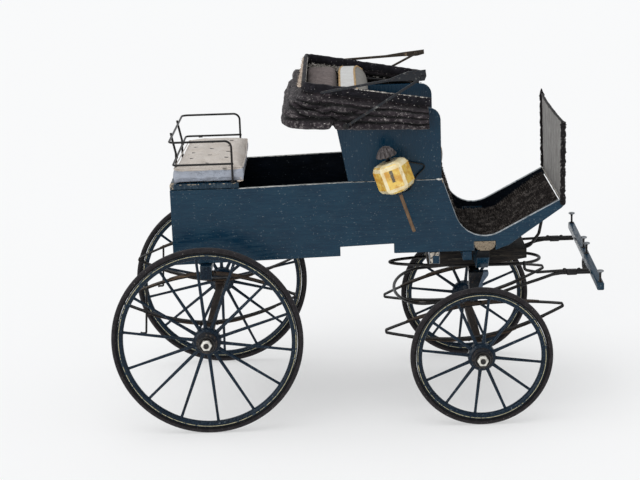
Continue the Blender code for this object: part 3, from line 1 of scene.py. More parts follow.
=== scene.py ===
"""The looks of a worn 1:8 model phaeton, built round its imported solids.

Places are (ahead, across, height) in metres: ahead is measured forward from the rear axle,
across is + to the left, and height is above the ground.
"""

import math
from random import Random

import bmesh
import bpy
from mathutils import Matrix, Vector, noise


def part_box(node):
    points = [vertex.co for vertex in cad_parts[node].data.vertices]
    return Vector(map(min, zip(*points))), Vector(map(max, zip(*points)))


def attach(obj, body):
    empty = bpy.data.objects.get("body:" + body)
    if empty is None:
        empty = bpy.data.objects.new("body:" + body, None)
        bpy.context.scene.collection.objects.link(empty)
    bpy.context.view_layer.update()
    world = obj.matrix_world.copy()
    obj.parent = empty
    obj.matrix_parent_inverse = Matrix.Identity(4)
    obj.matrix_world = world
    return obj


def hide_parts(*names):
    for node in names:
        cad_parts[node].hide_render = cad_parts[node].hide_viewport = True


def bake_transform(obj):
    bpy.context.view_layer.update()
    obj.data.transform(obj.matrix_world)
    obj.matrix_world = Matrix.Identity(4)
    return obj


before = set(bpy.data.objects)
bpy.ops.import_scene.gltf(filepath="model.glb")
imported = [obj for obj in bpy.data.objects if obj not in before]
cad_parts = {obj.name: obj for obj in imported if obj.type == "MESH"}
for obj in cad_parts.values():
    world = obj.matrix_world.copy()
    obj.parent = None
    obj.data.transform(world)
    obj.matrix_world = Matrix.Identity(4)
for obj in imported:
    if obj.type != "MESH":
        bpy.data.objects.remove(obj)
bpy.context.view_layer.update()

SIDES = {"right": -1.0, "left": 1.0}
REAR_AXLE = -0.11
WHEELBASE = 0.1992
REAR_RADIUS = 0.07
FRONT_RADIUS = 0.052
WHEEL_ACROSS = 0.0865
REAR_SEAT_TOP = 0.1816
CARPET_HALF = 0.056
BOW_BACK = 0.0755
BOW_HALF = 0.0663
BOW_TOP = 0.2496
BAR_LENGTH = 0.183
BAR_SKEW = 0.0031
PILE_STEP = 0.0018
COVER_STEP = 0.0013
FIT = 0.0003


def at(ahead, across, height):
    """A place in the frame's own axes."""
    return Vector((REAR_AXLE + ahead, across, height))


def lay_at(point, angle, axis):
    """The lay of a shape that stands at a point, turned about an axis."""
    return Matrix.Translation(point) @ Matrix.Rotation(angle, 4, axis)


# Shapes


def flat_section(half_wide, half_thick):
    """The section of a flat strip."""
    return [(half_wide, half_thick), (-half_wide, half_thick), (-half_wide, -half_thick),
        (half_wide, -half_thick)]


def circle(radius, sides=10, flat=1.0):
    """Points round a circle, or round an oval that is flat times as high."""
    turns = [2 * math.pi * side / sides for side in range(sides)]
    return [(radius * math.cos(turn), radius * flat * math.sin(turn)) for turn in turns]


def fillet(before, corner, after, radius, steps):
    """The points of an arc that rounds the corner between two others."""
    back = (before - corner).normalized()
    on = (after - corner).normalized()
    half = back.angle(on) / 2
    if half > math.radians(89.5):
        return [corner]
    middle = corner + (back + on).normalized() * (radius / math.sin(half))
    first = corner + back * (radius / math.tan(half)) - middle
    last = corner + on * (radius / math.tan(half)) - middle
    sweep_angle = first.angle(last)
    arc = []
    for step in range(steps + 1):
        share = step / steps
        mixed = first * math.sin((1 - share) * sweep_angle) + last * math.sin(share * sweep_angle)
        arc.append(middle + mixed / math.sin(sweep_angle))
    return arc


def bent(points, radius, steps=7):
    """An open route through points with every inner corner rounded."""
    points = [Vector(point) for point in points]
    route = [points[0]]
    for before, corner, after in zip(points, points[1:], points[2:]):
        route += fillet(before, corner, after, radius, steps)
    return route + [points[-1]]


def spaced(route, step):
    """The same route with points no further apart than a step."""
    fine = [Vector(route[0])]
    for before, after in zip(route, route[1:]):
        run = Vector(after) - Vector(before)
        pieces = max(1, round(run.length / step))
        fine += [Vector(before) + run * (index + 1) / pieces for index in range(pieces)]
    return fine


def lays(route, closed, first_side):
    """The frame of each place on a route: its X to the side, its Y up and its Z along."""
    found = []
    side = Vector(first_side)
    count = len(route)
    for index, point in enumerate(route):
        before = route[index - 1] if closed or index else point
        after = route[(index + 1) % count] if closed or index < count - 1 else point
        along = (after - before).normalized()
        side = (side - along * side.dot(along)).normalized()
        turn = Matrix((side, along.cross(side), along)).transposed().to_4x4()
        found.append(Matrix.Translation(point) @ turn)
    return found


def heading(route, index):
    """The way a route goes at one of its places."""
    return (route[min(index + 1, len(route) - 1)] - route[max(index - 1, 0)]).normalized()


def sweep(section, route, side=(0, 1, 0), closed=False, sizes=None, open_section=False):
    """A section drawn along a route. Its points are (to the side, up), and sizes scale it on the way."""
    route = [Vector(point) for point in route]
    places = lays(route, closed, side)
    sizes = sizes or [1.0] * len(route)
    shape = bmesh.new()
    ring = [shape.verts.new(places[0] @ Vector((x * sizes[0], y * sizes[0], 0.0))) for x, y in section]
    pairs = list(zip(ring, ring[1:]))
    if not open_section:
        pairs.append((ring[-1], ring[0]))
    edges = [shape.edges.new(pair) for pair in pairs]
    first_edges = edges
    if not closed and not open_section:
        shape.faces.new(ring[::-1])
    for index in range(1, len(route)):
        made = bmesh.ops.extrude_edge_only(shape, edges=edges)["geom"]
        moved = {part for part in made if isinstance(part, bmesh.types.BMVert)}
        edges = [part for part in made if isinstance(part, bmesh.types.BMEdge)
            and set(part.verts) <= moved]
        grow = Matrix.Diagonal((sizes[index] / sizes[index - 1],) * 2 + (1.0, 1.0))
        step = places[index] @ grow @ places[index - 1].inverted()
        bmesh.ops.transform(shape, matrix=step, verts=list(moved))
    if closed:
        bmesh.ops.bridge_loops(shape, edges=first_edges + edges)
    elif not open_section:
        bmesh.ops.edgeloop_fill(shape, edges=edges)
    return shape


def tube(route, radius, sides=10, closed=False, sizes=None, flat=1.0):
    """A round section drawn along a route."""
    route = [Vector(point) for point in route]
    along = (route[1] - route[0]).normalized()
    side = Vector((0, 1, 0)) if abs(along.y) < 0.8 else Vector((1, 0, 0))
    return sweep(circle(radius, sides, flat), route, side, closed, sizes)


def turned(profile, steps=32, closed=False):
    """A profile of (radius, height) points turned round the Z axis."""
    shape = bmesh.new()
    points = [shape.verts.new((radius, 0.0, height)) for radius, height in profile]
    pairs = list(zip(points, points[1:])) + ([(points[-1], points[0])] if closed else [])
    edges = [shape.edges.new(pair) for pair in pairs]
    bmesh.ops.spin(shape, geom=points + edges, axis=(0, 0, 1), angle=2 * math.pi, steps=steps,
        use_merge=True)
    bmesh.ops.remove_doubles(shape, verts=shape.verts, dist=0.0000002)
    return shape


def mm(*points):
    """A profile given in millimetres."""
    return [(radius / 1000, height / 1000) for radius, height in points]


def mirrored(half):
    """A closed profile from its upper half."""
    return half + [(radius, -height) for radius, height in reversed(half)]


def bar(low, high, edge=0.0, segments=2):
    """A bar between two corners with its edges rounded."""
    low, high = Vector(low), Vector(high)
    shape = bmesh.new()
    bmesh.ops.create_cube(shape, size=1.0)
    bmesh.ops.scale(shape, vec=high - low, verts=shape.verts)
    bmesh.ops.translate(shape, vec=(low + high) / 2, verts=shape.verts)
    if edge:
        bmesh.ops.bevel(shape, geom=shape.edges[:], offset=edge, segments=segments, affect="EDGES",
            profile=0.5, material=-1)
    return shape


def cone(start, end, radius, far_radius, sides=10, shape=None):
    """A round bar or cone from one point to another, in a shape of its own or one that is given."""
    start, end = Vector(start), Vector(end)
    run = end - start
    shape = bmesh.new() if shape is None else shape
    lay = Matrix.Translation((start + end) / 2) @ run.to_track_quat("Z", "Y").to_matrix().to_4x4()
    bmesh.ops.create_cone(shape, cap_ends=True, segments=sides, radius1=radius, radius2=far_radius,
        depth=run.length, matrix=lay)
    return shape


def rod(points, bend, steps, radius, sides=10):
    """A round rod through places (ahead, across, height) with its corners bent."""
    return tube(bent([at(*point) for point in points], bend, steps), radius, sides)


def soft_cube(cuts):
    """A cube from -1 to 1 in many faces, to be shaped."""
    shape = bmesh.new()
    bmesh.ops.create_cube(shape, size=2.0)
    bmesh.ops.subdivide_edges(shape, edges=shape.edges[:], cuts=cuts, use_grid_fill=True)
    return shape


def relax(shape):
    """Smooths a shape once."""
    bmesh.ops.smooth_vert(shape, verts=shape.verts, factor=0.5, use_axis_x=True, use_axis_y=True,
        use_axis_z=True)
    return shape


def merged_copy(*nodes):
    """The solids of some nodes, merged to whole faces."""
    shape = bmesh.new()
    for node in nodes:
        shape.from_mesh(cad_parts[node].data)
    bmesh.ops.remove_doubles(shape, verts=shape.verts, dist=0.000002)
    bmesh.ops.dissolve_limit(shape, angle_limit=math.radians(1.0), verts=shape.verts, edges=shape.edges)
    return shape


def cut_across(shape, point, normal):
    """Parts the faces along a plane."""
    everything = shape.verts[:] + shape.edges[:] + shape.faces[:]
    bmesh.ops.bisect_plane(shape, geom=everything, plane_co=point, plane_no=normal)


def soften_edges(shape, size, degrees=30, segments=2):
    """Rounds the edges that are sharper than an angle, and says which faces that made."""
    sharp = [edge for edge in shape.edges if len(edge.link_faces) == 2
        and edge.calc_face_angle(0.0) > math.radians(degrees)]
    made = bmesh.ops.bevel(shape, geom=sharp, offset=size, segments=segments, affect="EDGES",
        profile=0.5, material=-1, clamp_overlap=True)
    return set(made["faces"])


def wander(point, size, seed=0.0):
    """Smooth noise from -1 to 1 with lumps about size metres across."""
    return noise.noise(Vector(point) / size + Vector((seed, seed * 1.7, -seed)))


class Piece:
    """Shapes with their own finishes that become one object."""

    def __init__(self, name):
        self.name = name
        self.shape = bmesh.new()
        self.finishes = []

    def add(self, shape, finish, place=None, turn_out=True):
        """Takes in a shape. The finish is a material, or a function that picks one for each face."""
        if place is not None:
            bmesh.ops.transform(shape, matrix=place, verts=shape.verts)
        if turn_out:
            bmesh.ops.recalc_face_normals(shape, faces=shape.faces)
        for face in shape.faces:
            chosen = finish(face) if callable(finish) else finish
            if chosen not in self.finishes:
                self.finishes.append(chosen)
            face.material_index = self.finishes.index(chosen)
        loose = bpy.data.meshes.new("loose")
        shape.to_mesh(loose)
        shape.free()
        self.shape.from_mesh(loose)
        bpy.data.meshes.remove(loose)
        return self

    def put(self, body, slot, nodes=(), crease=38):
        mesh = bpy.data.meshes.new(self.name)
        self.shape.to_mesh(mesh)
        self.shape.free()
        for finish in self.finishes:
            mesh.materials.append(finish)
        obj = bpy.data.objects.new(self.name, mesh)
        bpy.context.scene.collection.objects.link(obj)
        mesh.shade_smooth()
        mesh.set_sharp_from_angle(angle=math.radians(crease))
        if nodes:
            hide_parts(*nodes)
        if body:
            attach(obj, body)
        return obj


# Finishes


def paint(red, green, blue):
    """A colour as a screen shows it, from 0 to 255, as the light a material needs."""
    parts = []
    for part in (red, green, blue):
        share = part / 255
        parts.append(share / 12.92 if share <= 0.04045 else ((share + 0.055) / 1.055) ** 2.4)
    return tuple(parts) + (1.0,)


class Finish:
    """A material whose nodes read the object's own coordinates."""

    def __init__(self, name, rough=0.5, shine=0.5, metal=0.0, coat=0.0, sheen=0.0):
        self.material = bpy.data.materials.new(name)
        self.material.use_nodes = True
        self.tree = self.material.node_tree
        self.shader = self.tree.nodes["Principled BSDF"]
        self.shader.inputs["Roughness"].default_value = rough
        self.shader.inputs["Specular IOR Level"].default_value = shine
        self.shader.inputs["Metallic"].default_value = metal
        self.shader.inputs["Coat Weight"].default_value = coat
        self.shader.inputs["Sheen Weight"].default_value = sheen
        self.spot = self.node("ShaderNodeTexCoord").outputs["Object"]

    def node(self, kind, inputs=None, **settings):
        made = self.tree.nodes.new(kind)
        for name, value in settings.items():
            setattr(made, name, value)
        for name, value in (inputs or {}).items():
            if isinstance(value, bpy.types.NodeSocket):
                self.tree.links.new(value, made.inputs[name])
            else:
                made.inputs[name].default_value = value
        return made

    def stretched(self, scale):
        return self.node("ShaderNodeMapping", {"Vector": self.spot, "Scale": scale}).outputs["Vector"]

    def levels(self, value, low, high, first=0.0, last=1.0):
        inputs = {"Value": value, "From Min": low, "From Max": high, "To Min": first, "To Max": last}
        return self.node("ShaderNodeMapRange", inputs, interpolation_type="SMOOTHSTEP").outputs["Result"]

    def speckle(self, size, low=0.35, high=0.65, where=None, detail=3.0, rough=0.55):
        """Marks about size metres across, from 0 to 1."""
        made = self.node("ShaderNodeTexNoise", {"Vector": where or self.spot, "Scale": 1.0 / size,
            "Detail": detail, "Roughness": rough})
        return self.levels(made.outputs["Fac"], low, high)

    def cells(self, size, low, high):
        """Round marks about size metres across: 1 near each middle."""
        made = self.node("ShaderNodeTexVoronoi", {"Vector": self.spot, "Scale": 1.0 / size})
        return self.levels(made.outputs["Distance"], high, low)

    def weave(self, scale, size, direction):
        made = self.node("ShaderNodeTexWave", {"Vector": self.stretched(scale), "Scale": 0.5 / size},
            wave_type="BANDS", bands_direction=direction)
        return made.outputs["Fac"]

    def product(self, first, second):
        return self.node("ShaderNodeMath", {0: first, 1: second}, operation="MULTIPLY",
            use_clamp=True).outputs["Value"]

    def mixed(self, share, first, second):
        return self.node("ShaderNodeMix", {0: share, 6: first, 7: second}, data_type="RGBA").outputs[2]

    def coloured(self, base, *coats):
        """Paints a base colour, then each coat: its mark, its strength and its colour."""
        shade = paint(*base)
        for mark, strength, colour in coats:
            share = mark if strength == 1 else self.product(mark, strength)
            shade = self.mixed(share, shade, colour if isinstance(colour, bpy.types.NodeSocket)
                else paint(*colour))
        self.tree.links.new(shade, self.shader.inputs["Base Color"])
        return self

    def roughened(self, mark, low, high):
        self.tree.links.new(self.levels(mark, 0.0, 1.0, low, high), self.shader.inputs["Roughness"])
        return self

    def bump(self, height, distance, strength=1.0):
        made = self.node("ShaderNodeBump", {"Height": height, "Distance": distance, "Strength": strength})
        link = self.shader.inputs["Normal"].links
        if link:
            self.tree.links.new(link[0].from_socket, made.inputs["Normal"])
        self.tree.links.new(made.outputs["Normal"], self.shader.inputs["Normal"])
        return self


def times(colour, factor):
    """A colour made darker or lighter."""
    return [part * factor for part in colour]


def painted(name, base, light, dark, grain, dust=0.08, shine=0.27, rough=0.29):
    """Old brushed paint with a dull gloss: faint streaks along the grain, a film of dust, few specks."""
    made = Finish(name, rough, shine)
    cloud = made.speckle(0.03, 0.3, 0.7, detail=2.0)
    streak = made.speckle(0.0011, 0.38, 0.68, made.stretched(grain), 4.0)
    fleck = made.speckle(0.0011, 0.715, 0.74, detail=1.0)
    film = made.speckle(0.0065, 0.52, 0.8, detail=5.0, rough=0.7)
    made.coloured(dark, (cloud, 1, base), (streak, 0.45, light), (film, dust, (96, 108, 116)),
        (fleck, 0.5, (130, 138, 142)))
    made.roughened(streak, rough - 0.05, rough + 0.14)
    return made.bump(streak, 0.00007, 0.45).bump(cloud, 0.00015, 0.2).material


def chipped(name, bare, base, share, grain=(1.0, 1.0, 1.0), size=0.0016):
    """An edge or end where the paint is worn through to something paler."""
    made = Finish(name, 0.62, 0.22)
    along = made.stretched(grain)
    worn = made.speckle(size, 0.6 - share * 0.22, 0.66 - share * 0.22, along, 4.0, 0.65)
    grime = made.speckle(0.0011, 0.35, 0.7, along, 3.0)
    pale = made.mixed(grime, paint(*bare), paint(*times(bare, 0.72)))
    return made.coloured(base, (worn, 1, pale)).bump(worn, 0.00022, 0.6).bump(grime, 0.0001, 0.5).material


def bare_wood(name, base, dark, light, grain, shine=0.15, rough=0.68):
    """Wood with long grain, dirt in its pores and paler worn places."""
    made = Finish(name, rough, shine)
    along = made.stretched(grain)
    fibre = made.speckle(0.0012, 0.34, 0.66, along, 5.0, 0.6)
    patch = made.speckle(0.006, 0.42, 0.66, detail=4.0)
    worn = made.speckle(0.003, 0.6, 0.7, along, 4.0, 0.7)
    made.coloured(dark, (fibre, 1, base), (patch, 0.45, dark), (worn, 0.75, light))
    return made.bump(fibre, 0.00014, 0.7).material


def black_metal(name, base, wear, share, rough=0.42, shine=0.3):
    """Blackened iron with worn places and small rusty specks."""
    made = Finish(name, rough, shine)
    rub = made.speckle(0.0034, 0.56, 0.72, detail=5.0, rough=0.7)
    pit = made.speckle(0.0009, 0.62, 0.7, detail=2.0)
    made.coloured(base, (rub, share, wear), (pit, 0.5, (96, 78, 62))).roughened(rub, rough, rough + 0.22)
    return made.bump(rub, 0.00012, 0.6).bump(pit, 0.00008, 0.6).material


def soft_leather(name, base, shadow, stain):
    """Old upholstery leather: fine grain, soft creases and a little staining."""
    made = Finish(name, 0.58, 0.22, sheen=0.05)
    grains = made.cells(0.00055, 0.15, 0.6)
    crease = made.speckle(0.005, 0.42, 0.6, detail=5.0, rough=0.6)
    cloud = made.speckle(0.014, 0.4, 0.72, detail=3.0)
    dots = made.speckle(0.0009, 0.67, 0.71, detail=1.0)
    made.coloured(base, (cloud, 0.6, stain), (crease, 0.2, shadow), (dots, 0.6, times(shadow, 0.55)))
    return made.bump(grains, 0.00009, 0.5).bump(crease, 0.00035, 0.55).material


def worn_cloth(name, base, fold, dust_colour, dust, weave=0.00042, deep=False):
    """Heavy oiled cloth: a close weave, paler bloom in patches and specks of dust. With deep set, it also
    gets painted shade in its hollows and a painted highlight on its open ridges.
    """
    made = Finish(name, 0.86, 0.12, sheen=0.1)
    thread = made.product(made.weave((1.0, 0.15, 1.0), weave, "Z"), made.weave((1.0, 1.0, 0.15), weave,
        "DIAGONAL"))
    bloom = made.speckle(0.0042, 0.38, 0.7, detail=5.0, rough=0.68)
    speck = made.speckle(0.0012, 0.722, 0.75, detail=1.0)
    coats = [(bloom, 0.7, base)]
    if deep:
        # Where the folds close in, the colour goes near-black as painted shade; on open ridges it is
        # lightened in patches as a painted highlight.
        open_share = made.node("ShaderNodeAmbientOcclusion", {"Distance": 0.007}, samples=6).outputs["AO"]
        hollow_shade = made.levels(open_share, 0.46, 0.97, 1.0, 0.0)
        patch = made.speckle(0.0026, 0.5, 0.66, detail=5.0, rough=0.7)
        ridge_highlight = made.product(made.levels(open_share, 0.93, 1.0), patch)
        coats += [(hollow_shade, 1, (4, 3, 5)), (ridge_highlight, 0.75, (146, 139, 138))]
    made.coloured(fold, *coats, (thread, 0.12, times(base, 1.5)), (speck, dust, dust_colour))
    return made.bump(thread, 0.0001, 0.5).bump(bloom, 0.0004, 0.55).material


def plain_metal(name, base, rough, metal=1.0, dirt=(60, 56, 52)):
    """Bright metal with dulled patches and dirt."""
    made = Finish(name, rough, 0.5, metal)
    film = made.speckle(0.0024, 0.42, 0.74, detail=4.0)
    made.coloured(base, (film, 0.55, dirt)).roughened(film, rough, rough + 0.3)
    return made.bump(made.speckle(0.0005, 0.4, 0.7, detail=2.0), 0.00004, 0.5).material


LENGTHWISE = (0.1, 1.0, 1.0)
CROSSWISE = (1.0, 0.1, 1.0)
UPRIGHT = (1.0, 1.0, 0.1)
NO_GRAIN = (1.0, 1.0, 1.0)

NAVY = (6, 47, 68)
NAVY_LIGHT = (24, 60, 78)
NAVY_DARK = (2, 38, 59)
navy_side = painted("navy_side_paint", NAVY, NAVY_LIGHT, NAVY_DARK, LENGTHWISE)
navy_seat = painted("navy_seat_paint", NAVY, (10, 50, 70), NAVY_DARK, UPRIGHT, 0.05)
navy_cross = painted("navy_cross_paint", NAVY, NAVY_LIGHT, NAVY_DARK, CROSSWISE)
navy_wheel = painted("navy_wheel_paint", (3, 27, 44), (18, 44, 62), (0, 14, 28), NO_GRAIN, 0.1, 0.22)
# The inside colour is darker than the inside paint shows where it is lit, so it is dark paint plus
# painted shade for the inside of the trough.
inside_paint_and_shade = painted("navy_inside_paint_and_shade", (2, 14, 28), (4, 20, 36), (0, 6, 14), LENGTHWISE, 0.0, 0.2,
    0.4)
sawn_edge = painted("navy_sawn_edge", (14, 46, 64), (60, 80, 92), (6, 28, 44), (1.0, 1.0, 0.2), 0.2)
trough_edge = chipped("trough_top_chips", (206, 206, 202), (40, 56, 68), 0.95, (0.35, 1.0, 1.0))
rubbed_edge = chipped("toe_edge_rub", (170, 176, 180), (74, 90, 100), 1.1, (0.3, 0.3, 0.3))
worn_edge = chipped("navy_edge_wear", (112, 122, 128), (22, 48, 64), 0.18)
board_corner = chipped("board_corner_chips", (196, 180, 156), (60, 66, 72), 0.75)
tan_end = chipped("bare_speckled_end", (168, 152, 130), (92, 80, 66), 0.85, size=0.0011)
white_end = chipped("chipped_bar_end", (206, 198, 184), (70, 66, 62), 0.8)
white_chip = chipped("white_chip", (226, 226, 222), (150, 140, 124), 1.2)
perch_brown = bare_wood("perch_brown_paint", (60, 54, 48), (26, 26, 28), (104, 98, 88), LENGTHWISE)
# The bed's slanted cheeks are navy painted pale as if light from the near side falls on them: painted
# light.
lit_bed_cheek = painted("bed_cheek_painted_light", (84, 98, 114), (112, 124, 136), (60, 74, 92), NO_GRAIN, 0.3)
bed_black = black_metal("bed_black_paint", (3, 7, 14), (60, 70, 80), 0.25, 0.34, 0.22)
axle_wood = bare_wood("axle_dark_wood", (74, 62, 54), (42, 36, 32), (120, 104, 90), CROSSWISE)
board_wood = bare_wood("dark_board_wood", (50, 44, 40), (26, 23, 22), (84, 74, 66), CROSSWISE)
spring_brown = bare_wood("rusty_spring_leaf", (80, 64, 50), (32, 28, 26), (132, 108, 84),
    (0.12, 1.0, 1.0), 0.25, 0.6)
spring_black = black_metal("spring_leaf_black", (9, 8, 9), (84, 68, 54), 0.42, 0.45, 0.22)
iron = black_metal("black_iron_paint", (6, 6, 8), (92, 86, 78), 0.28, 0.34, 0.32)
stay_iron = black_metal("stay_black_paint", (24, 28, 34), (150, 150, 146), 0.75, 0.4)
far_stay = black_metal("far_stay_worn", (50, 42, 34), (176, 150, 120), 0.95, 0.5)
cup_black = black_metal("hub_cup_black", (10, 9, 10), (60, 52, 46), 0.25, 0.3, 0.5)
hub_worn = chipped("hub_worn_face", (76, 68, 62), (22, 26, 32), 0.4)
steel = plain_metal("nut_steel", (226, 224, 216), 0.34, 0.75, (120, 116, 108))
dull_steel = plain_metal("bolt_steel", (142, 146, 150), 0.4)
rod_brown = bare_wood("brown_rod", (136, 106, 76), (90, 70, 50), (168, 140, 108), UPRIGHT, 0.35, 0.42)
cream_line = chipped("cream_line", (206, 198, 160), (60, 76, 84), 0.9, size=0.003)
rubber = worn_cloth("tyre_rubber", (52, 49, 51), (34, 32, 34), (150, 146, 140), 0.5, 0.0012)
rubber_dark = worn_cloth("tyre_channel", (26, 25, 27), (18, 17, 19), (120, 116, 110), 0.4, 0.0012)
# The rear cushion's leather comes as a lit copy for its top and a shaded copy for its sides: painted
# light and shade.
cushion_lit_top = soft_leather("cushion_lit_top_leather", (206, 198, 190), (168, 156, 146), (192, 180, 168))
cushion_shaded_side = soft_leather("cushion_shaded_side_leather", (166, 172, 184), (130, 134, 144), (150, 152, 158))
# The backrest's leather comes as a lit copy for its top, a shaded copy for its sides and a darker shaded
# copy for its front: painted light and shade.
backrest_lit_top = soft_leather("backrest_lit_top_leather", (208, 208, 206), (176, 174, 170), (196, 194, 190))
backrest_shaded_face = soft_leather("backrest_shaded_face_leather", (142, 140, 138), (108, 105, 102), (126, 122, 118))
backrest_shaded_front = soft_leather("backrest_shaded_front_leather", (126, 123, 117), (92, 89, 84), (112, 108, 100))
tan_piping = chipped("tan_piping", (206, 172, 122), (140, 108, 72), 0.9, size=0.001)
frayed_tan = chipped("frayed_tan_edge", (226, 208, 190), (150, 124, 104), 0.95, size=0.0012)
# The hood cloth gets painted shade in its hollows and a painted highlight on its open ridges.
hood_cloth = worn_cloth("hood_cloth", (64, 57, 61), (30, 26, 30), (206, 202, 196), 1.0, deep=True)
hood_band = worn_cloth("hood_band_leather", (42, 40, 47), (18, 17, 21), (196, 194, 190), 0.7, 0.0008)
hood_fray = chipped("hood_frayed_edge", (206, 200, 192), (90, 84, 80), 0.95, size=0.0012)
hood_lining = worn_cloth("hood_lining", (126, 114, 111), (86, 77, 75), (158, 148, 142), 0.4)
binding_black = worn_cloth("dash_binding", (34, 31, 32), (20, 18, 19), (150, 146, 142), 0.6, 0.0007)


def dash_finish():
    """Grey leather with upright rub streaks."""
    made = Finish("dash_grey_leather", 0.62, 0.2)
    streak = made.speckle(0.0022, 0.34, 0.7, made.stretched((1.0, 1.0, 0.12)), 5.0, 0.65)
    mottle = made.speckle(0.0075, 0.36, 0.68, detail=5.0, rough=0.65)
    pit = made.speckle(0.0011, 0.6, 0.68, detail=2.0)
    made.coloured((130, 128, 126), (streak, 1, (168, 166, 162)), (mottle, 0.55, (116, 112, 110)),
        (pit, 0.35, (84, 80, 78)))
    return made.bump(streak, 0.00015, 0.6).bump(pit, 0.0001, 0.6).material


def carpet_finish(name, deep, base, tip):
    """Dark pile with lighter fluff."""
    made = Finish(name, 0.95, 0.05)
    pile = made.speckle(0.0012, 0.34, 0.66, detail=4.0, rough=0.7)
    tuft = made.speckle(0.006, 0.47, 0.68, detail=5.0, rough=0.7)
    return made.coloured(deep, (pile, 1, base), (tuft, 0.6, tip)).bump(pile, 0.0008, 1.0).material


def amber_finish(name, base, deep, pale):
    """Old clear amber: cloudy yellow with deeper places and small cracks inside."""
    made = Finish(name, 0.16, 0.5, coat=0.6)
    cloud = made.speckle(0.006, 0.36, 0.66, detail=3.0)
    crack = made.speckle(0.0022, 0.56, 0.66, made.stretched((1.0, 1.0, 0.35)), 4.0, 0.7)
    light = made.speckle(0.0036, 0.56, 0.72, detail=2.0)
    made.coloured(base, (cloud, 1, deep), (light, 0.7, pale), (crack, 0.55, (150, 104, 40)))
    return made.bump(crack, 0.0001, 0.5).material


dash_grey = dash_finish()
carpet_pile = carpet_finish("carpet_pile", (14, 12, 12), (62, 57, 55), (124, 117, 112))
amber = amber_finish("amber_bead", (236, 198, 92), (206, 150, 48), (250, 230, 150))
amber_ridge = amber_finish("amber_ridge", (240, 226, 186), (226, 200, 140), (250, 242, 216))
label_rough = chipped("bead_rough_strip", (150, 138, 118), (84, 74, 64), 0.8, (1.0, 1.0, 6.0), 0.0012)
lamp_cap_grey = bare_wood("lamp_cap_grey", (104, 97, 96), (50, 45, 46), (142, 134, 130), UPRIGHT, 0.3,
    0.5)
thread_pale = chipped("pale_thread", (206, 200, 188), (150, 140, 126), 0.9)
fluff = carpet_finish("carpet_fluff", (92, 86, 82), (142, 134, 128), (176, 168, 162))


# Wheels


def hub_and_cup(piece, lay):
    """The turned hub, its worn front shoulder and the black cup that the nut sits in."""
    piece.add(turned(mm((2.3, -7.8), (5.2, -7.8), (5.7, -7.2), (6, -6.6), (7.4, -4.6), (7.8, -4.3),
        (9.8, -3.2), (10.2, -2.6), (10.2, 2), (10, 2.8), (9.2, 3.3), (8, 3.7), (7.7, 4.2), (2.3, 4.2)),
        40, True), navy_wheel, lay)
    piece.add(turned(mm((2.2, 4), (7.8, 4), (7.9, 4.6), (7.7, 6.2), (7.2, 7.2), (6.2, 7.7), (2.3, 7.7)),
        40, True), hub_worn, lay)
    piece.add(turned(mm((2.3, 7), (6, 7), (6, 8.6), (5.7, 9.1), (5.1, 9.2), (4.7, 8.9), (4.5, 8),
        (2.3, 8)), 36, True), cup_black, lay)


def make_wheel(place, side, ahead, radius, count, phase, body):
    """A spoked wheel with its painted line, and its rubber tyre in a channel."""
    across = SIDES[side]
    lay = lay_at(at(ahead, across * WHEEL_ACROSS, radius), -across * math.pi / 2, "X")
    tyre_in = radius - 0.0042
    rim_out = tyre_in - FIT
    rim_in = rim_out - 0.0041
    steps = 128 if place == "rear" else 104
    wheel = Piece(place + "_wheel_" + side + "_spoked")
    hub_and_cup(wheel, lay)
    wheel.add(turned(mirrored([(rim_in, 0.0008), (rim_in + 0.0003, 0.0016), (rim_in + 0.0012, 0.0022),
        (rim_out - 0.0003, 0.0023), (rim_out, 0.0021)]), steps, True), navy_wheel, lay)
    line = rim_out - 0.0009
    for face in (1.0, -1.0):
        wheel.add(turned([(line - 0.0002, face * 0.00215), (line + 0.0002, face * 0.00215),
            (line + 0.00018, face * 0.00236), (line - 0.00018, face * 0.00236)], steps, True),
            cream_line, lay)
    rng = Random(place + side)
    for index in range(count):
        angle = phase + 2 * math.pi * index / count
        out = Vector((math.cos(angle), math.sin(angle), 0.0))
        off = Vector((-out.y, out.x, 0.0))
        start = out * 0.0088 + Vector((0.0, 0.0, 0.0002))
        end = out * (rim_in + 0.001) + off * rng.uniform(-0.0002, 0.0002)
        route = [start.lerp(end, share) for share in (0.0, 0.06, 0.14, 0.5, 0.86, 0.96, 1.0)]
        sizes = (1.25, 1.12, 1.0, 0.92, 0.8, 0.86, 0.98)
        wheel.add(sweep(circle(0.00125, 10, 0.92), route, off, sizes=sizes), navy_wheel, lay)
    wheel.put(body, "navy_paint", [place + "_wheel_" + side])
    tyre = Piece(place + "_tyre_" + side + "_rubber")
    channel = mirrored([(tyre_in + 0.0013, 0.0016), (tyre_in + 0.0012, 0.0022),
        (tyre_in + 0.0003, 0.0021), (tyre_in, 0.0017)])
    tyre.add(turned(channel, steps, True), rubber_dark, lay)
    tread = mirrored([(tyre_in + depth, half) for depth, half in mm((1.3, 1.9), (1.6, 2.4), (2.2, 2.6),
        (3.0, 2.5), (3.7, 2.0), (4.1, 1.2), (4.2, 0.4))])
    tyre.add(turned(tread, steps, True), rubber, lay)
    tyre.put(body, "tyre_rubber", [place + "_tyre_" + side])


def make_wheels():
    """The four wheels, each with its own spoke angle."""
    for side, rear, front in (("right", 17.8, 22.6), ("left", -12.25, -23.1)):
        make_wheel("rear", side, 0.0, REAR_RADIUS, 14, math.radians(rear), "rear_wheel_" + side)
        make_wheel("front", side, WHEELBASE, FRONT_RADIUS, 12, math.radians(front), "front_wheel_" + side)


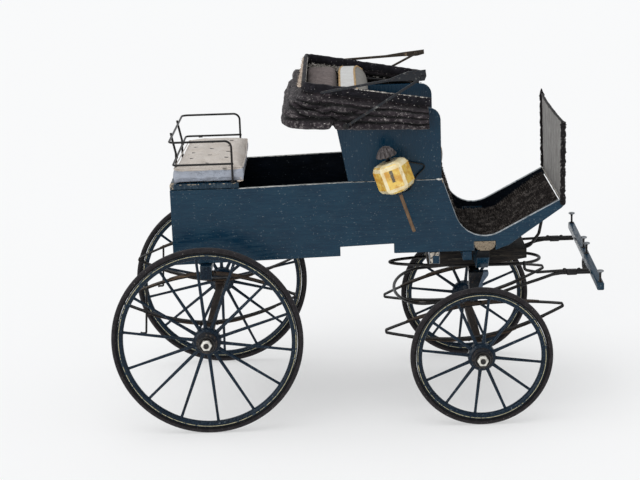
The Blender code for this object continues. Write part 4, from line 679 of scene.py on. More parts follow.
def nut_and_bolt(piece, ahead, across, height):
    """A chamfered six-sided nut with the round end of the axle standing out of it."""
    lay = lay_at(at(ahead, across * (WHEEL_ACROSS + 0.0092 + FIT), height), -across * math.pi / 2, "X")
    nut = turned(mm((0, 0), (4.2, 0), (4.2, 2.6), (3.6, 3.1), (0, 3.1)), 6)
    soften_edges(nut, 0.0002, 40, 1)
    piece.add(nut, steel, lay)
    piece.add(turned(mm((0, 2.9), (2, 2.9), (2, 4.2), (1.7, 4.6), (0.9, 4.6), (0.7, 4.3), (0, 4.3)), 24),
        cup_black, lay)


def make_axle(name, ahead, height, body, pad):
    """A square axle with round ends and nuts. A pad is how far out and how high it is packed up."""
    half, reach = 0.0029, 0.0999
    shoulder = WHEEL_ACROSS - 0.0078 - FIT
    axle = Piece(name + "_bar")
    axle.add(bar(at(ahead - half, -shoulder, height - half), at(ahead + half, shoulder, height + half),
        0.0006), axle_wood)
    axle.add(cone(at(ahead, -reach, height), at(ahead, reach, height), 0.0019, 0.0019, 20), cup_black)
    for across in SIDES.values():
        nut_and_bolt(axle, ahead, across, height)
        collar = lay_at(at(ahead, across * shoulder, height), -across * math.pi / 2, "X")
        axle.add(turned(mm((0, -6), (3.6, -6), (4, -5.4), (4, -0.6), (3.6, 0), (0, 0)), 28), cup_black,
            collar)
        if pad:
            out, top = pad
            axle.add(bar(at(ahead - 0.0036, across * out - 0.0027, height),
                at(ahead + 0.0036, across * out + 0.0027, top), 0.0004), axle_wood)
    axle.put(body, "dark_wood", [name])


# Springs


def leaf_height(share, rise):
    """How high a leaf stands at a share of its half length from the middle."""
    return rise * (1 - abs(share) ** 1.8)


def leaf_bow(half, rise, count=24, end=1.0):
    """One curved leaf in side view, from end to end."""
    shares = [end * (-1 + 2 * step / count) for step in range(count + 1)]
    return [Vector((share * half, 0.0, leaf_height(share, rise))) for share in shares]


def make_spring(name, body, node, ahead, across, height, half, up, down, tilt, with_rod=False):
    """A full elliptic spring: one hairpin-ended pair of main leaves and two shorter leaves on each."""
    lay = lay_at(at(ahead, across, height), -tilt, "Y")
    upper = leaf_bow(half, up, end=0.9)
    lower = leaf_bow(half, -down, end=0.9)[::-1]
    tip = Vector((half, 0.0, 0.0))
    route = upper + fillet(upper[-1], tip, lower[0], 0.0012, 8)
    route += lower + fillet(lower[-1], -tip, upper[0], 0.0012, 8)
    spring = Piece(name)
    loop = sweep(flat_section(0.0025, 0.0005), route, (0, 1, 0), True)
    soften_edges(loop, 0.00022, 50, 1)
    spring.add(loop, spring_black, lay)
    rng = Random(name)
    for outward, rise in ((1.0, up), (-1.0, down)):
        for number, end in enumerate((0.74, 0.42)):
            ends = (end * rng.uniform(0.96, 1.03), end * rng.uniform(0.96, 1.03))
            points = []
            for step in range(21):
                share = -ends[0] + (ends[0] + ends[1]) * step / 20
                lift = 0.0005 + 0.0007 * number + 0.00036
                points.append(Vector((share * half, 0.0, outward * (leaf_height(share, rise) + lift))))
            sizes = [0.62, 0.86] + [1.0] * 17 + [0.86, 0.62]
            strip = sweep(flat_section(0.0024 - 0.0002 * number, 0.00034), points, (0, 1, 0), sizes=sizes)
            soften_edges(strip, 0.00014, 60, 1)
            spring.add(strip, spring_brown, lay)
        top = outward * (rise + 0.0019)
        bottom = outward * (rise - 0.0008)
        for offset in (-0.0062, 0.0062):
            low = (offset - 0.0007, -0.0028, min(top, bottom))
            high = (offset + 0.0007, 0.0028, max(top, bottom))
            spring.add(bar(low, high, 0.0003), iron, lay)
    if with_rod:
        out = math.copysign(1.0, across)
        inner, outer = across - out * 0.0001, across + out * 0.0041
        ahead, foot = -0.0445, 0.0715
        top = height + leaf_height(ahead / half, up) + 0.0004
        points = [(ahead, inner, top), (ahead, outer, top), (ahead - 0.0006, outer, top - 0.0124),
            (ahead - 0.002, outer, foot), (ahead - 0.0052, outer, foot)]
        spring.add(rod(points, 0.0009, 7, 0.0008, 8), iron)
        end = at(*points[-1])
        spring.add(cone(end, end - Vector((0.001, 0.0, 0.0)), 0.0012, 0.0011, 10), iron)
    spring.put(body, "spring_wood", [node])


def make_springs():
    """The rear pair with check rods, and the front pair, tilted and a little different by side."""
    for side, across in SIDES.items():
        rear, front = "rear_spring_" + side, "front_spring_" + side
        make_spring(rear + "_leaves", "carriage", rear, 0.0, across * 0.062, 0.0955, 0.066, 0.0182,
            0.0182, 0.0, True)
        tilt, down, half = {"right": (7.1, 0.015, 0.0693), "left": (8.9, 0.0133, 0.0676)}[side]
        tilt = math.radians(tilt)
        height = 0.0549 + FIT + (down + 0.0019) / math.cos(tilt)
        make_spring(front + "_leaves", "fore_carriage", front, 0.1964, across * 0.055, height, half,
            0.025 - down, down, tilt)


# Body


def body_face(face, soft):
    """The finish of a body side's face, by where it is and which way it faces."""
    seat_back, toe_edge, side_top = 0.0264, 0.174, 0.178
    middle = face.calc_center_median()
    ahead = middle.x - REAR_AXLE
    if middle.z > side_top - 0.0014 and seat_back < ahead < toe_edge + 0.0005 and face.normal.z > 0.3:
        return trough_edge
    front_face = face.normal.x > 0.5 and middle.z < side_top
    if ahead > toe_edge - 0.0005 and (face.normal.z > 0.25 or front_face):
        return rubbed_edge
    # Faces that look inward get the near-black inside colour: dark paint with painted shade for the
    # inside of the trough.
    if face.normal.y * math.copysign(1.0, middle.y) < -0.6:
        return inside_paint_and_shade
    return worn_edge if face in soft else navy_side


def softened(node, ending, edge, segments, finish, body, slot, crease=30):
    """A solid with softened edges. The finish is a material, or picks one by face and softened faces."""
    shape = merged_copy(node)
    soft = soften_edges(shape, edge, 40, segments)
    pick = (lambda face: finish(face, soft)) if callable(finish) else finish
    Piece(node + ending).add(shape, pick, turn_out=False).put(body, slot, [node], crease)


def make_body():
    """The boards of the body and the small solids that only need worn edges."""
    def seat_face(face, soft):
        return worn_edge if face in soft and face.normal.z < 0.2 else navy_seat
    for side in SIDES:
        softened("body_side_" + side, "_panel", 0.0003, 1, body_face, "carriage", "navy_paint")
        softened("seat_side_" + side, "_panel", 0.0005, 2, seat_face, "carriage", "navy_paint")
    for node, slot, finish, edge in (
            ("rear_panel", "navy_paint", navy_cross, 0.0003),
            # The floor wears the same inside colour, dark paint with painted shade.
            ("body_floor", "dark_wood", inside_paint_and_shade, 0.0003),
            ("seat_back_board", "navy_paint", navy_cross, 0.0004),
            ("seat_board", "dark_wood", board_wood, 0.0004),
            ("toe_board", "navy_paint", navy_cross, 0.0002),
            ("perch_board", "brown_paint", perch_brown, 0.0005),
            ("rear_bolster", "navy_paint", navy_wheel, 0.0004),
            ("pole_socket", "black_iron", iron, 0.0003),
            ("king_bolt", "black_iron", iron, 0.0002)):
        wear = worn_edge if slot == "navy_paint" else finish
        body = "fore_carriage" if node == "pole_socket" else "carriage"
        softened(node, "_worn", edge, 2, lambda face, soft: wear if face in soft else finish, body, slot)
    make_rear_board()
    make_chips()


def make_rear_board():
    """The rear seat board: sawn edges, a ragged top edge and bare wood at its rear corners."""
    low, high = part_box("rear_seat_board")
    shape = bar(low, high)
    for axis, shortest, cuts in ((0, 0.01, 34), (1, 0.05, 60)):
        long = [edge for edge in shape.edges
            if abs((edge.verts[0].co - edge.verts[1].co)[axis]) > shortest]
        bmesh.ops.subdivide_edges(shape, edges=long, cuts=cuts, use_grid_fill=True)
    soft = soften_edges(shape, 0.0006, 40, 2)
    for vert in shape.verts:
        if vert.co.z > high.z - 0.0009:
            vert.co.z -= 0.0004 * max(0.0, wander(vert.co, 0.0022) + 0.15)
        vert.co.y -= math.copysign(0.00022 * max(0.0, wander(vert.co, 0.0016, 3.0)), vert.co.y)
        vert.co.x += 0.0007 * max(0.0, wander(vert.co, 0.0024, 7.0)) if vert.co.x < low.x + 0.001 else 0.0

    def board_face(face):
        middle = face.calc_center_median()
        if middle.x < low.x + 0.0022 and middle.z > high.z - 0.0022 and abs(middle.y) > high.y - 0.008:
            return board_corner
        if face in soft and middle.z > high.z - 0.0009:
            return board_corner if noise.noise(middle * 700) > 0.1 else sawn_edge
        return sawn_edge if abs(face.normal.y) > 0.5 or abs(face.normal.x) > 0.5 else navy_cross
    Piece("rear_seat_board_sawn").add(shape, board_face).put("carriage", "navy_paint",
        ["rear_seat_board"], 45)


def flake(middle, size, seed):
    """A small torn flake of paint or wood."""
    shape = bmesh.new()
    bmesh.ops.create_icosphere(shape, subdivisions=2, radius=1.0)
    for vert in shape.verts:
        vert.co *= 1 + 0.35 * wander(vert.co, 0.6, seed)
    bmesh.ops.scale(shape, vec=size, verts=shape.verts)
    bmesh.ops.translate(shape, vec=middle, verts=shape.verts)
    return shape


def make_chips():
    """The white chip and the bare edge below the near seat side, and splinters by the rear seat."""
    chips = Piece("paint_chips")
    chips.add(flake(at(0.1722, -0.0592, 0.179), (0.003, 0.0011, 0.0011), 1.0), white_chip)
    chips.add(flake(at(0.1745, -0.0594, 0.1775), (0.0004, 0.0008, 0.0016), 2.0), tan_piping)
    for index, (ahead, height, long) in enumerate((
            (0.0268, 0.1822, 0.0016), (0.0282, 0.1846, 0.0012),
            (0.0262, 0.188, 0.0009), (0.029, 0.1826, 0.001))):
        chips.add(flake(at(ahead, -0.0576, height), (long, 0.0007, 0.0006), 5.0 + index), frayed_tan)
    chips.put("carriage", "navy_paint")


# Seats


def padded_block(low, high, cuts, crown, pull, droop=0.0):
    """A soft block: crowned on top, drawn in between its corners and flat below."""
    low, high = Vector(low), Vector(high)
    half = (high - low) / 2
    shape = soft_cube(cuts)
    for vert in shape.verts:
        u, v, w = vert.co
        ring = max(abs(u), abs(v))
        x = half.x * u * (1 - pull * (1 - v * v))
        y = half.y * v * (1 - pull * 0.4 * (1 - u * u))
        belly = 1 + 0.022 * (1 - w * w)
        z = half.z * w
        if w > 0:
            z += w * crown * (1 - u ** 4) * (1 - v ** 6) - w * droop * ring ** 14
        vert.co = (x * belly, y * (1 + 0.01 * (1 - w * w)), z)
    bmesh.ops.translate(shape, vec=(low + high) / 2, verts=shape.verts)
    return shape


def puffed(piece, scale=8.0):
    """Inflates a closed cushion with a short cloth run and gives it back as a shape."""
    frames, furthest = 20, 0.008
    mesh = piece.data
    mesh.transform(Matrix.Scale(scale, 4))
    before = [vert.co.copy() for vert in mesh.vertices]
    cloth = piece.modifiers.new("puff", "CLOTH")
    cloth.settings.use_pressure = True
    cloth.settings.uniform_pressure_force = 1.2
    cloth.settings.quality = 5
    cloth.settings.effector_weights.gravity = 0.0
    cloth.settings.shrink_min = -0.02
    cloth.point_cache.frame_start = 1
    cloth.point_cache.frame_end = frames
    for number in range(1, frames + 1):
        bpy.context.scene.frame_set(number)
    shown = piece.evaluated_get(bpy.context.evaluated_depsgraph_get())
    after = [vert.co.copy() for vert in shown.data.vertices]
    piece.modifiers.remove(cloth)
    bpy.context.scene.frame_set(1)
    floor = min(vert.z for vert in before)
    for vert, old, new in zip(mesh.vertices, before, after):
        move = new - old
        if move.length > furthest:
            move = move.normalized() * furthest
        vert.co = old + move
        vert.co.z = max(vert.co.z, floor)
    mesh.transform(Matrix.Scale(1 / scale, 4))


REAR_TUFTS = [
    (ahead, first + apart * row)
    for ahead, first, apart, count in (
        (-0.009, -0.0532, 0.0218, 6), (0.0036, -0.0465, 0.0246, 5), (0.0166, -0.0548, 0.0225, 6))
    for row in range(count)]


def askew(ahead, across):
    """How far the rear cushion's edges have shifted out of square."""
    if ahead < 0.0:
        return 0.0012 * (across / 0.057) * (-ahead / 0.02)
    return -0.0022 * max(0.0, across / 0.057) * (ahead / 0.03)


def make_rear_cushion():
    """The tufted rear cushion, with a black stitch in each tuft that also stands as painted shade in the
    tuft's slit, and its seam.
    """
    base, crown, grid = REAR_SEAT_TOP, 0.1905, 0.003
    cushion = Piece("rear_cushion_leather")
    shape = padded_block(at(-0.0196, -0.057, base), at(0.0302, 0.057, base + 0.0108), 38, 0.003, 0.01,
        0.0012)
    relax(shape)

    # Faces that look up get the lit copy and the rest get the shaded copy, as painted light and shade.
    def lit_top_or_shaded_side(face):
        high_up = face.calc_center_median().z > 0.1935
        return cushion_lit_top if face.normal.z > 0.45 or high_up else cushion_shaded_side
    cushion.add(shape, lit_top_or_shaded_side)
    piece = cushion.put("carriage", "grey_leather", ["rear_seat_cushion"], 70)
    puffed(piece)
    for vert in piece.data.vertices:
        ahead, across = vert.co.x - REAR_AXLE, vert.co.y
        if vert.co.z > crown:
            for tuft_ahead, tuft_across in REAR_TUFTS:
                near = ((ahead - tuft_ahead) ** 2 + (across - tuft_across) ** 2) / 0.0038 ** 2
                if near < 9:
                    vert.co.z -= 0.0016 * math.exp(-near)
        vert.co.z += 0.00025 * wander(vert.co, 0.007, 4.0) * (vert.co.z > 0.186)
        vert.co.x += askew(ahead, across)
    # Each tuft gets a black stitch, which is partly the stitch itself and partly painted shade in the
    # slit.
    stitches_and_slit_shade = Piece("rear_cushion_tufts")
    heights = {}
    for vert in piece.data.vertices:
        if vert.co.z > crown:
            key = (round((vert.co.x - REAR_AXLE) / grid), round(vert.co.y / grid))
            heights[key] = max(heights.get(key, 0.0), vert.co.z)
    for index, (ahead, across) in enumerate(REAR_TUFTS):
        key = (round(ahead / grid), round(across / grid))
        top = heights.get(key, 0.195) - 0.00005
        angle = 0.3 * math.sin(index * 2.1)
        reach = Vector((math.cos(angle), math.sin(angle), 0.0)) * 0.0015
        middle = at(ahead, across, top)
        stitches_and_slit_shade.add(cone(middle - reach, middle + reach, 0.00055, 0.00034, 8), cup_black)
    stitches_and_slit_shade.put("carriage", "grey_leather", crease=60)
    edge = Piece("rear_cushion_seam")
    route = bent([at(-0.0193, -0.0562, 0.1923), at(-0.0193, 0.0562, 0.1923), at(0.0299, 0.0562, 0.1923),
        at(0.0299, -0.0562, 0.1923), at(-0.0193, -0.0562, 0.1923)], 0.0018)
    route = [point + Vector((askew(point.x - REAR_AXLE, point.y), 0.0, 0.0))
        for point in spaced(route, 0.002)[:-1]]
    edge.add(tube(route, 0.00042, 6, True), cushion_lit_top)
    edge.put("carriage", "grey_leather", crease=60)


def make_seat_cushion():
    """The front cushion with tan piping along its front."""
    low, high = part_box("seat_cushion")
    seat = Piece("front_cushion_leather")
    high = Vector((high.x + 0.0014, high.y, high.z - 0.0012))
    shape = padded_block(low, high, 20, 0.0012, 0.008, 0.001)
    relax(shape)
    # The seat cushion wears the backrest's shaded copy all over, as painted shade.
    seat.add(shape, lambda face: tan_piping if face.normal.x > 0.7 else backrest_shaded_face)
    piece = seat.put("carriage", "grey_leather", ["seat_cushion"], 70)


def make_backrest():
    """The backrest: a leaning pad whose top stands above the seat back, with a tan cord on both edges."""
    lean = -0.0096 / 0.0522
    low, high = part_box("backrest_cushion")
    middle = Vector(((low.x + high.x) / 2 + 0.0018, 0.0, 0.2255))
    shape = soft_cube(30)

    def lay_on(u, v, w):
        x = 0.006 * u * (1 - 0.1 * w * w)
        if u > 0:
            swell = 0.65 * (1 - w * w) if w < 0 else (1 - w ** 6) * (1 - 0.35 * (1 - w) ** 2)
            x += 0.0088 * u * swell * (1 - 0.35 * v ** 8)
        x += 0.003 * max(0.0, v) ** 5 * (0.4 + 0.3 * (w + 1))
        y = 0.0565 * v * (1 - 0.01 * w ** 4)
        z = 0.0225 * w * (1 - 0.02 * v ** 8)
        return middle + Vector((x + lean * z, y, z))
    for vert in shape.verts:
        vert.co = lay_on(*vert.co)
    relax(shape)
    back = Piece("backrest_leather")

    # The front gets the darker shaded copy, faces that look up get the lit copy and the rest get the
    # shaded copy: painted light and shade.
    def lit_or_shaded_pad_face(face):
        spot = face.calc_center_median() - middle
        if spot.x - lean * spot.z > 0.0062 and abs(face.normal.y) < 0.6:
            return backrest_shaded_front
        return backrest_lit_top if face.normal.z > 0.5 else backrest_shaded_face
    back.add(shape, lit_or_shaded_pad_face)
    piece = back.put("carriage", "grey_leather", ["backrest_cushion"], 60)
    cords = Piece("backrest_cords")
    for u in (-0.97, 0.97):
        route = [lay_on(u, -1.0, w) for w in (-0.6, -0.3, 0.3)] + [lay_on(u, -0.995, 0.86)]
        route += [lay_on(u, -0.96 + 1.92 * step / 24, 0.985) for step in range(25)]
        route += [lay_on(u, 0.995, 0.86)] + [lay_on(u, 1.0, w) for w in (0.3, -0.3, -0.6)]
        route = spaced(route, 0.0012)
        sizes = [1 + 0.22 * math.sin(index * 2.4) for index in range(len(route))]
        cords.add(tube(route, 0.00075, 8, sizes=sizes), tan_piping)
    cords.put("carriage", "grey_leather", crease=60)


def make_rail():
    """The rear seat's wire rail: two hoops, two posts, blobs of solder and round feet."""
    rail = Piece("rear_seat_rail_wire")
    base, top, low = REAR_SEAT_TOP, 0.2121, 0.1953
    out, back, front = 0.059, -0.023, 0.0222
    inner = back + 0.0022
    rail.add(rod([(front, -out, base), (front, -out, top), (back, -out, top), (back, out, top),
        (front, out, top), (front, out, base)], 0.0048, 9, 0.0008), iron)
    rail.add(rod([(front, -out, low), (inner, -out, low), (inner, out, low), (front, out, low)], 0.003,
        7, 0.00078), iron)
    for across in SIDES.values():
        post = across * 0.027
        rail.add(rod([(back - 0.0012, post, top + 0.0016), (back - 0.0004, post, top - 0.003),
            (inner - 0.0004, post, low + 0.003), (inner - 0.0006, post, base + 0.004),
            (inner - 0.0002, post, base)], 0.003, 5, 0.00086), iron)
        for joint in (at(front, across * out, low), at(inner, post, low)):
            rail.add(flake(joint, (0.0012, 0.0012, 0.0012), 3.0), iron)
        rail.add(turned(mm((0, 0), (1.7, 0), (1.4, 0.7), (0, 0.8)), 16), iron,
            Matrix.Translation(at(front, across * out, base)))
    rail.put("carriage", "black_iron", ["rear_seat_rail"], 60)


# Toe well and dash


def toe_line():
    """The carpet's middle line in side view, laid on the toe board."""
    line = [Vector((0.1712, 0.0, 0.183)), Vector((0.1874, 0.0, 0.1264)), Vector((0.2215, 0.0, 0.1264)),
        Vector((0.2616, 0.0, 0.1559))]
    return spaced(bent(line, 0.009, 8), PILE_STEP)


def make_carpet():
    """The toe well's carpet pile: a lumpy face and short hairs, with pale fluff by the far side."""
    route = toe_line()
    count = len(route) - 1
    half = CARPET_HALF
    shape = bmesh.new()
    bmesh.ops.create_grid(shape, x_segments=count, y_segments=64, size=0.5)
    for vert in shape.verts:
        place = (vert.co.x + 0.5) * count
        index = min(int(round(place)), count)
        along = heading(route, index)
        up = Vector((-along.z, 0.0, along.x))
        across = vert.co.y * 2 * half
        run = index * PILE_STEP
        lift = 0.0029 + 0.00065 * wander((run, across, 0.0), 0.0022)
        lift += 0.00045 * wander((run, across, 0.0), 0.006, 5.0)
        if across > half - 0.006:
            lift += 0.0006 * max(0.0, wander((run, across, 0.3), 0.003, 8.0))
        point = route[index] + up * lift
        vert.co = at(point.x, across, point.z)
    bmesh.ops.recalc_face_normals(shape, faces=shape.faces)
    if sum(face.normal.z for face in shape.faces) < 0:
        bmesh.ops.reverse_faces(shape, faces=shape.faces)
    bmesh.ops.solidify(shape, geom=shape.faces[:], thickness=0.0011)
    carpet = Piece("toe_carpet_pile")
    carpet.add(shape, carpet_pile)
    rng = Random(11)
    hairs = []
    for _ in range(5200):
        index = rng.randrange(2, count - 1)
        across = rng.uniform(-half, half) if rng.random() < 0.55 else half - abs(rng.gauss(0.0, 0.01))
        along = heading(route, index)
        up = Vector((-along.z, 0.0, along.x))
        root = route[index] + up * 0.003
        root = at(root.x, across, root.z)
        lean = Vector((rng.uniform(-1, 1), rng.uniform(-1, 1), rng.uniform(-0.2, 0.4)))
        tip = root + (up + lean * 0.8).normalized() * rng.uniform(0.0009, 0.0022)
        tip.y = max(-0.0565, min(0.0565, tip.y))
        light = rng.random() < 0.34 + 0.75 * wander(root, 0.01, 3.0) + 0.3 * (across > half - 0.012)
        hairs.append((root, tip, light))
    for light, finish in ((True, fluff), (False, carpet_pile)):
        tuft = bmesh.new()
        for root, tip, is_light in hairs:
            if is_light == light:
                cone(root, tip, 0.00024, 0.00007, 3, tuft)
        carpet.add(tuft, finish, turn_out=False)
    carpet.put("carriage", "carpet", ["toe_carpet"], 60)


def make_dash():
    """The grey leather dash with its ragged bound edge and torn corners."""
    ahead = 0.2615
    foot, top = 0.1617, 0.219
    foot_half, top_half = 0.0617, 0.0667
    shape = bmesh.new()
    bmesh.ops.create_grid(shape, x_segments=30, y_segments=40, size=0.5)
    for vert in shape.verts:
        up = vert.co.x + 0.5
        half = foot_half + (top_half - foot_half) * up
        across = vert.co.y * 2 * half
        ripple = 0.00035 * wander((across, up * 0.05, 0.0), 0.01)
        ripple += 0.0003 * wander((across, up, 0.0), 0.02, 2.0)
        sag = -0.0011 * (1 - (2 * abs(vert.co.y)) ** 2) * up
        lower = 0.0043 if abs(across) < CARPET_HALF else 0.0
        edge = 0.0005 * wander((across, 0.0, 0.0), 0.004, 6.0) * up ** 8
        vert.co = at(ahead + ripple + sag, across, foot - lower + (top - foot + lower) * up + edge)
    bmesh.ops.recalc_face_normals(shape, faces=shape.faces)
    bmesh.ops.solidify(shape, geom=shape.faces[:], thickness=0.001)
    dash = Piece("dash_leather_bound")
    dash.add(shape, dash_grey)
    rng = Random(5)
    for across in SIDES.values():
        route = [at(ahead, across * (foot_half - 0.001 + (top_half - foot_half) * step / 60),
            foot - 0.0016 + (top - foot + 0.0018) * step / 60) for step in range(61)]
        sizes = [1 + 0.22 * rng.uniform(-1, 1) + 0.12 * math.sin(step * 0.9) for step in range(61)]
        sizes[0] = 0.7
        binding = sweep(circle(0.0018, 12, 0.86), route, (1, 0, 0), sizes=sizes)
        for vert in binding.verts:
            vert.co += Vector((1, 0.5, 0.3)) * 0.0007 * wander(vert.co, 0.0014, across)
        dash.add(binding, binding_black)
        for step in range(3, 58, 4):
            middle = route[step] - Vector((0.0018, 0.0, 0.0))
            dash.add(cone(middle - Vector((0, 0, 0.0008)), middle + Vector((0, 0, 0.0008)), 0.00022,
                0.00016, 5), stay_iron)
        for number in range(16):
            share = rng.random()
            spot = route[0].lerp(route[-1], share) + Vector((rng.uniform(0.0008, 0.0016), 0.0, 0.0))
            dash.add(flake(spot, (0.0006, 0.0005, rng.uniform(0.0005, 0.0014)), number), binding_black)
        corner = at(ahead, across * (top_half - 0.001), top - 0.001)
        lean = Vector((-0.0006, 0.0, 0.0052 if across > 0 else 0.002))
        spike = sweep(circle(0.0014, 9), [corner + lean * share for share in (0.0, 0.3, 0.6, 0.85, 1.0)],
            (1, 0, 0), sizes=(1.15, 1.0, 0.72, 0.42, 0.12))
        for vert in spike.verts:
            vert.co.x += 0.0006 * wander(vert.co, 0.0012, 2.0)
        dash.add(spike, binding_black)
        dash.add(flake(at(ahead + 0.0002, across * (foot_half - 0.0012), foot - 0.0024),
            (0.0022, 0.0019, 0.0026), across), binding_black)
    reach = top_half - 0.0012
    route = [at(ahead - 0.0011 * (1 - (2 * step / 40 - 1) ** 2), reach * (2 * step / 40 - 1),
        top - 0.0003 + 0.0003 * math.sin(step * 1.9)) for step in range(41)]
    sizes = [1 + 0.25 * rng.uniform(-1, 1) for _ in route]
    dash.add(sweep(circle(0.0009, 8), route, (1, 0, 0), sizes=sizes), binding_black)
    route = [at(ahead - 0.0016, (foot_half - 0.001) * (2 * step / 40 - 1),
        foot + 0.0004 + 0.00015 * math.sin(step * 2.3)) for step in range(41)]
    dash.add(tube(route, 0.00022, 6), thread_pale)
    dash.put("carriage", "dash_leather", ["dash_leather"], 50)


# Lamps


def make_lamp(side):
    """A lamp: amber bead with a blank strip, fluted cap, and stem with its wall hook."""
    across = SIDES[side]
    stand = 0.0768
    lay = lay_at(at(0.1386, across * stand, 0.1863), math.radians(-18.5), "Y")
    bead = turned(mm((0, 11), (10.2, 11), (14.2, 8.4), (14.2, -8.4), (8.8, -12), (0, -12)), 6)
    soft = soften_edges(bead, 0.0016, 25, 1)
    for vert in bead.verts:
        vert.co *= 1 + 0.016 * wander(vert.co, 0.005, 1.0)
    lamp = Piece("lamp_bead_" + side + "_amber")
    lamp.add(bead, lambda face: amber_ridge if face in soft or abs(face.normal.z) > 0.9 else amber, lay)
    facet = Matrix.Translation((0.0, across * 0.01215, 0.0))
    strip = bar((-0.0017, -0.0003, -0.0022), (0.0005, 0.0003, 0.0064))
    long = [edge for edge in strip.edges if abs((edge.verts[0].co - edge.verts[1].co).z) > 0.004]
    bmesh.ops.subdivide_edges(strip, edges=long, cuts=25)
    for vert in strip.verts:
        rung = math.sin(vert.co.z / 0.00034 * math.pi)
        vert.co.y += across * 0.00016 * rung if vert.co.y * across > 0 else 0.0
        vert.co.x += 0.0003 * wander(vert.co, 0.0015, 2.0)
    lamp.add(strip, label_rough, lay @ facet)
    lamp.put("carriage", "amber", ["lamp_bead_" + side], 9)
    cap_lay = lay_at(lay @ Vector((0.0, 0.0, 0.0113)), math.radians(-15.0), "Y")
    cap = turned(mm((0, 11.2), (1.2, 11.1), (3.4, 10), (5.6, 7.6), (7, 5), (7.5, 4), (7, 3.6), (5, 4.6),
        (1.6, 4.4), (0, 4.4)), 88)
    for vert in cap.verts:
        reach = min(1.0, math.hypot(vert.co.x, vert.co.y) / 0.0055)
        dip = abs(math.sin(math.atan2(vert.co.y, vert.co.x) * 5.5)) ** 0.6
        grow = 1 + (0.15 * dip - 0.11) * reach
        vert.co.x *= grow
        vert.co.y *= grow
        vert.co.z += (0.001 * dip - 0.0007) * reach
    hat = Piece("lamp_cap_" + side + "_fluted")
    hat.add(cap, lamp_cap_grey, cap_lay)
    hat.add(turned(mm((0, 0), (2.2, 0), (1.8, 0.6), (1.1, 1.2), (1.1, 5), (0, 5)), 16), cup_black,
        cap_lay)
    hat.put("carriage", "black_iron", ["lamp_cap_" + side], 50)
    stem = Piece("lamp_stem_" + side + "_rod")
    stem.add(cone(lay @ Vector((0.0, 0.0, -0.0123)), lay @ Vector((0.0, 0.0, -0.0438)), 0.0013, 0.00125,
        16), rod_brown)
    stem.add(turned(mm((0, -2.6), (1.7, -2.6), (2.2, -1.8), (2.2, -0.5), (2.6, 0), (0, 0)), 20),
        cup_black, lay @ Matrix.Translation((0.0, 0.0, -0.0121)))
    near = across * (0.06 + FIT + 0.0006)
    hook = lay @ Vector((0.0, 0.0, -0.0135))
    hook_ahead = hook.x - REAR_AXLE
    stem.add(rod([(0.1496, near, 0.1931), (0.1636, near, 0.1901), (0.1556, near, 0.1823),
        (0.1506, near, 0.1723), (hook_ahead + 0.0016, across * 0.0708, hook.z - 0.0008),
        (hook_ahead, across * stand, hook.z)], 0.002, 5, 0.00055, 8), iron)
    stem.put("carriage", "copper", ["lamp_stem_" + side], 45)


# Hood


def bow_route(shape, across, lift):
    """A U-shaped bow from one pivot, back round the seat, to the other."""
    back, corner, knee = shape
    start, bend = 0.1626, 0.156
    return bent([at(*point) for point in (
        (start, -across, 0.229), (bend, -across, knee), (back, -across, corner),
        (back, across, corner + lift), (bend, across, knee + lift * 0.2),
        (start, across, 0.229))], 0.006, 8)


def pivot_eyes(piece, across):
    """The rings at both ends of a bow, round its side pivots."""
    for side in SIDES.values():
        lay = lay_at(at(0.163, side * across, 0.227), math.pi / 2, "X")
        piece.add(turned(mm((2.7, 0.8), (2.7, -0.8), (1.3, -0.8), (1.3, 0.8)), 24, True), iron, lay)


def make_bow(name, shape, across, body):
    """A plain iron bow with its pivot rings."""
    bow = Piece(name + "_rod")
    bow.add(tube(spaced(bow_route(shape, across, 0.0), 0.004), 0.001, 10), iron)
    pivot_eyes(bow, across)
    bow.put(body, "black_iron", [name], 60)


def arm_height(ahead):
    """The height of the front bow's side arms."""
    return BOW_TOP - 0.157 * (ahead - BOW_BACK)


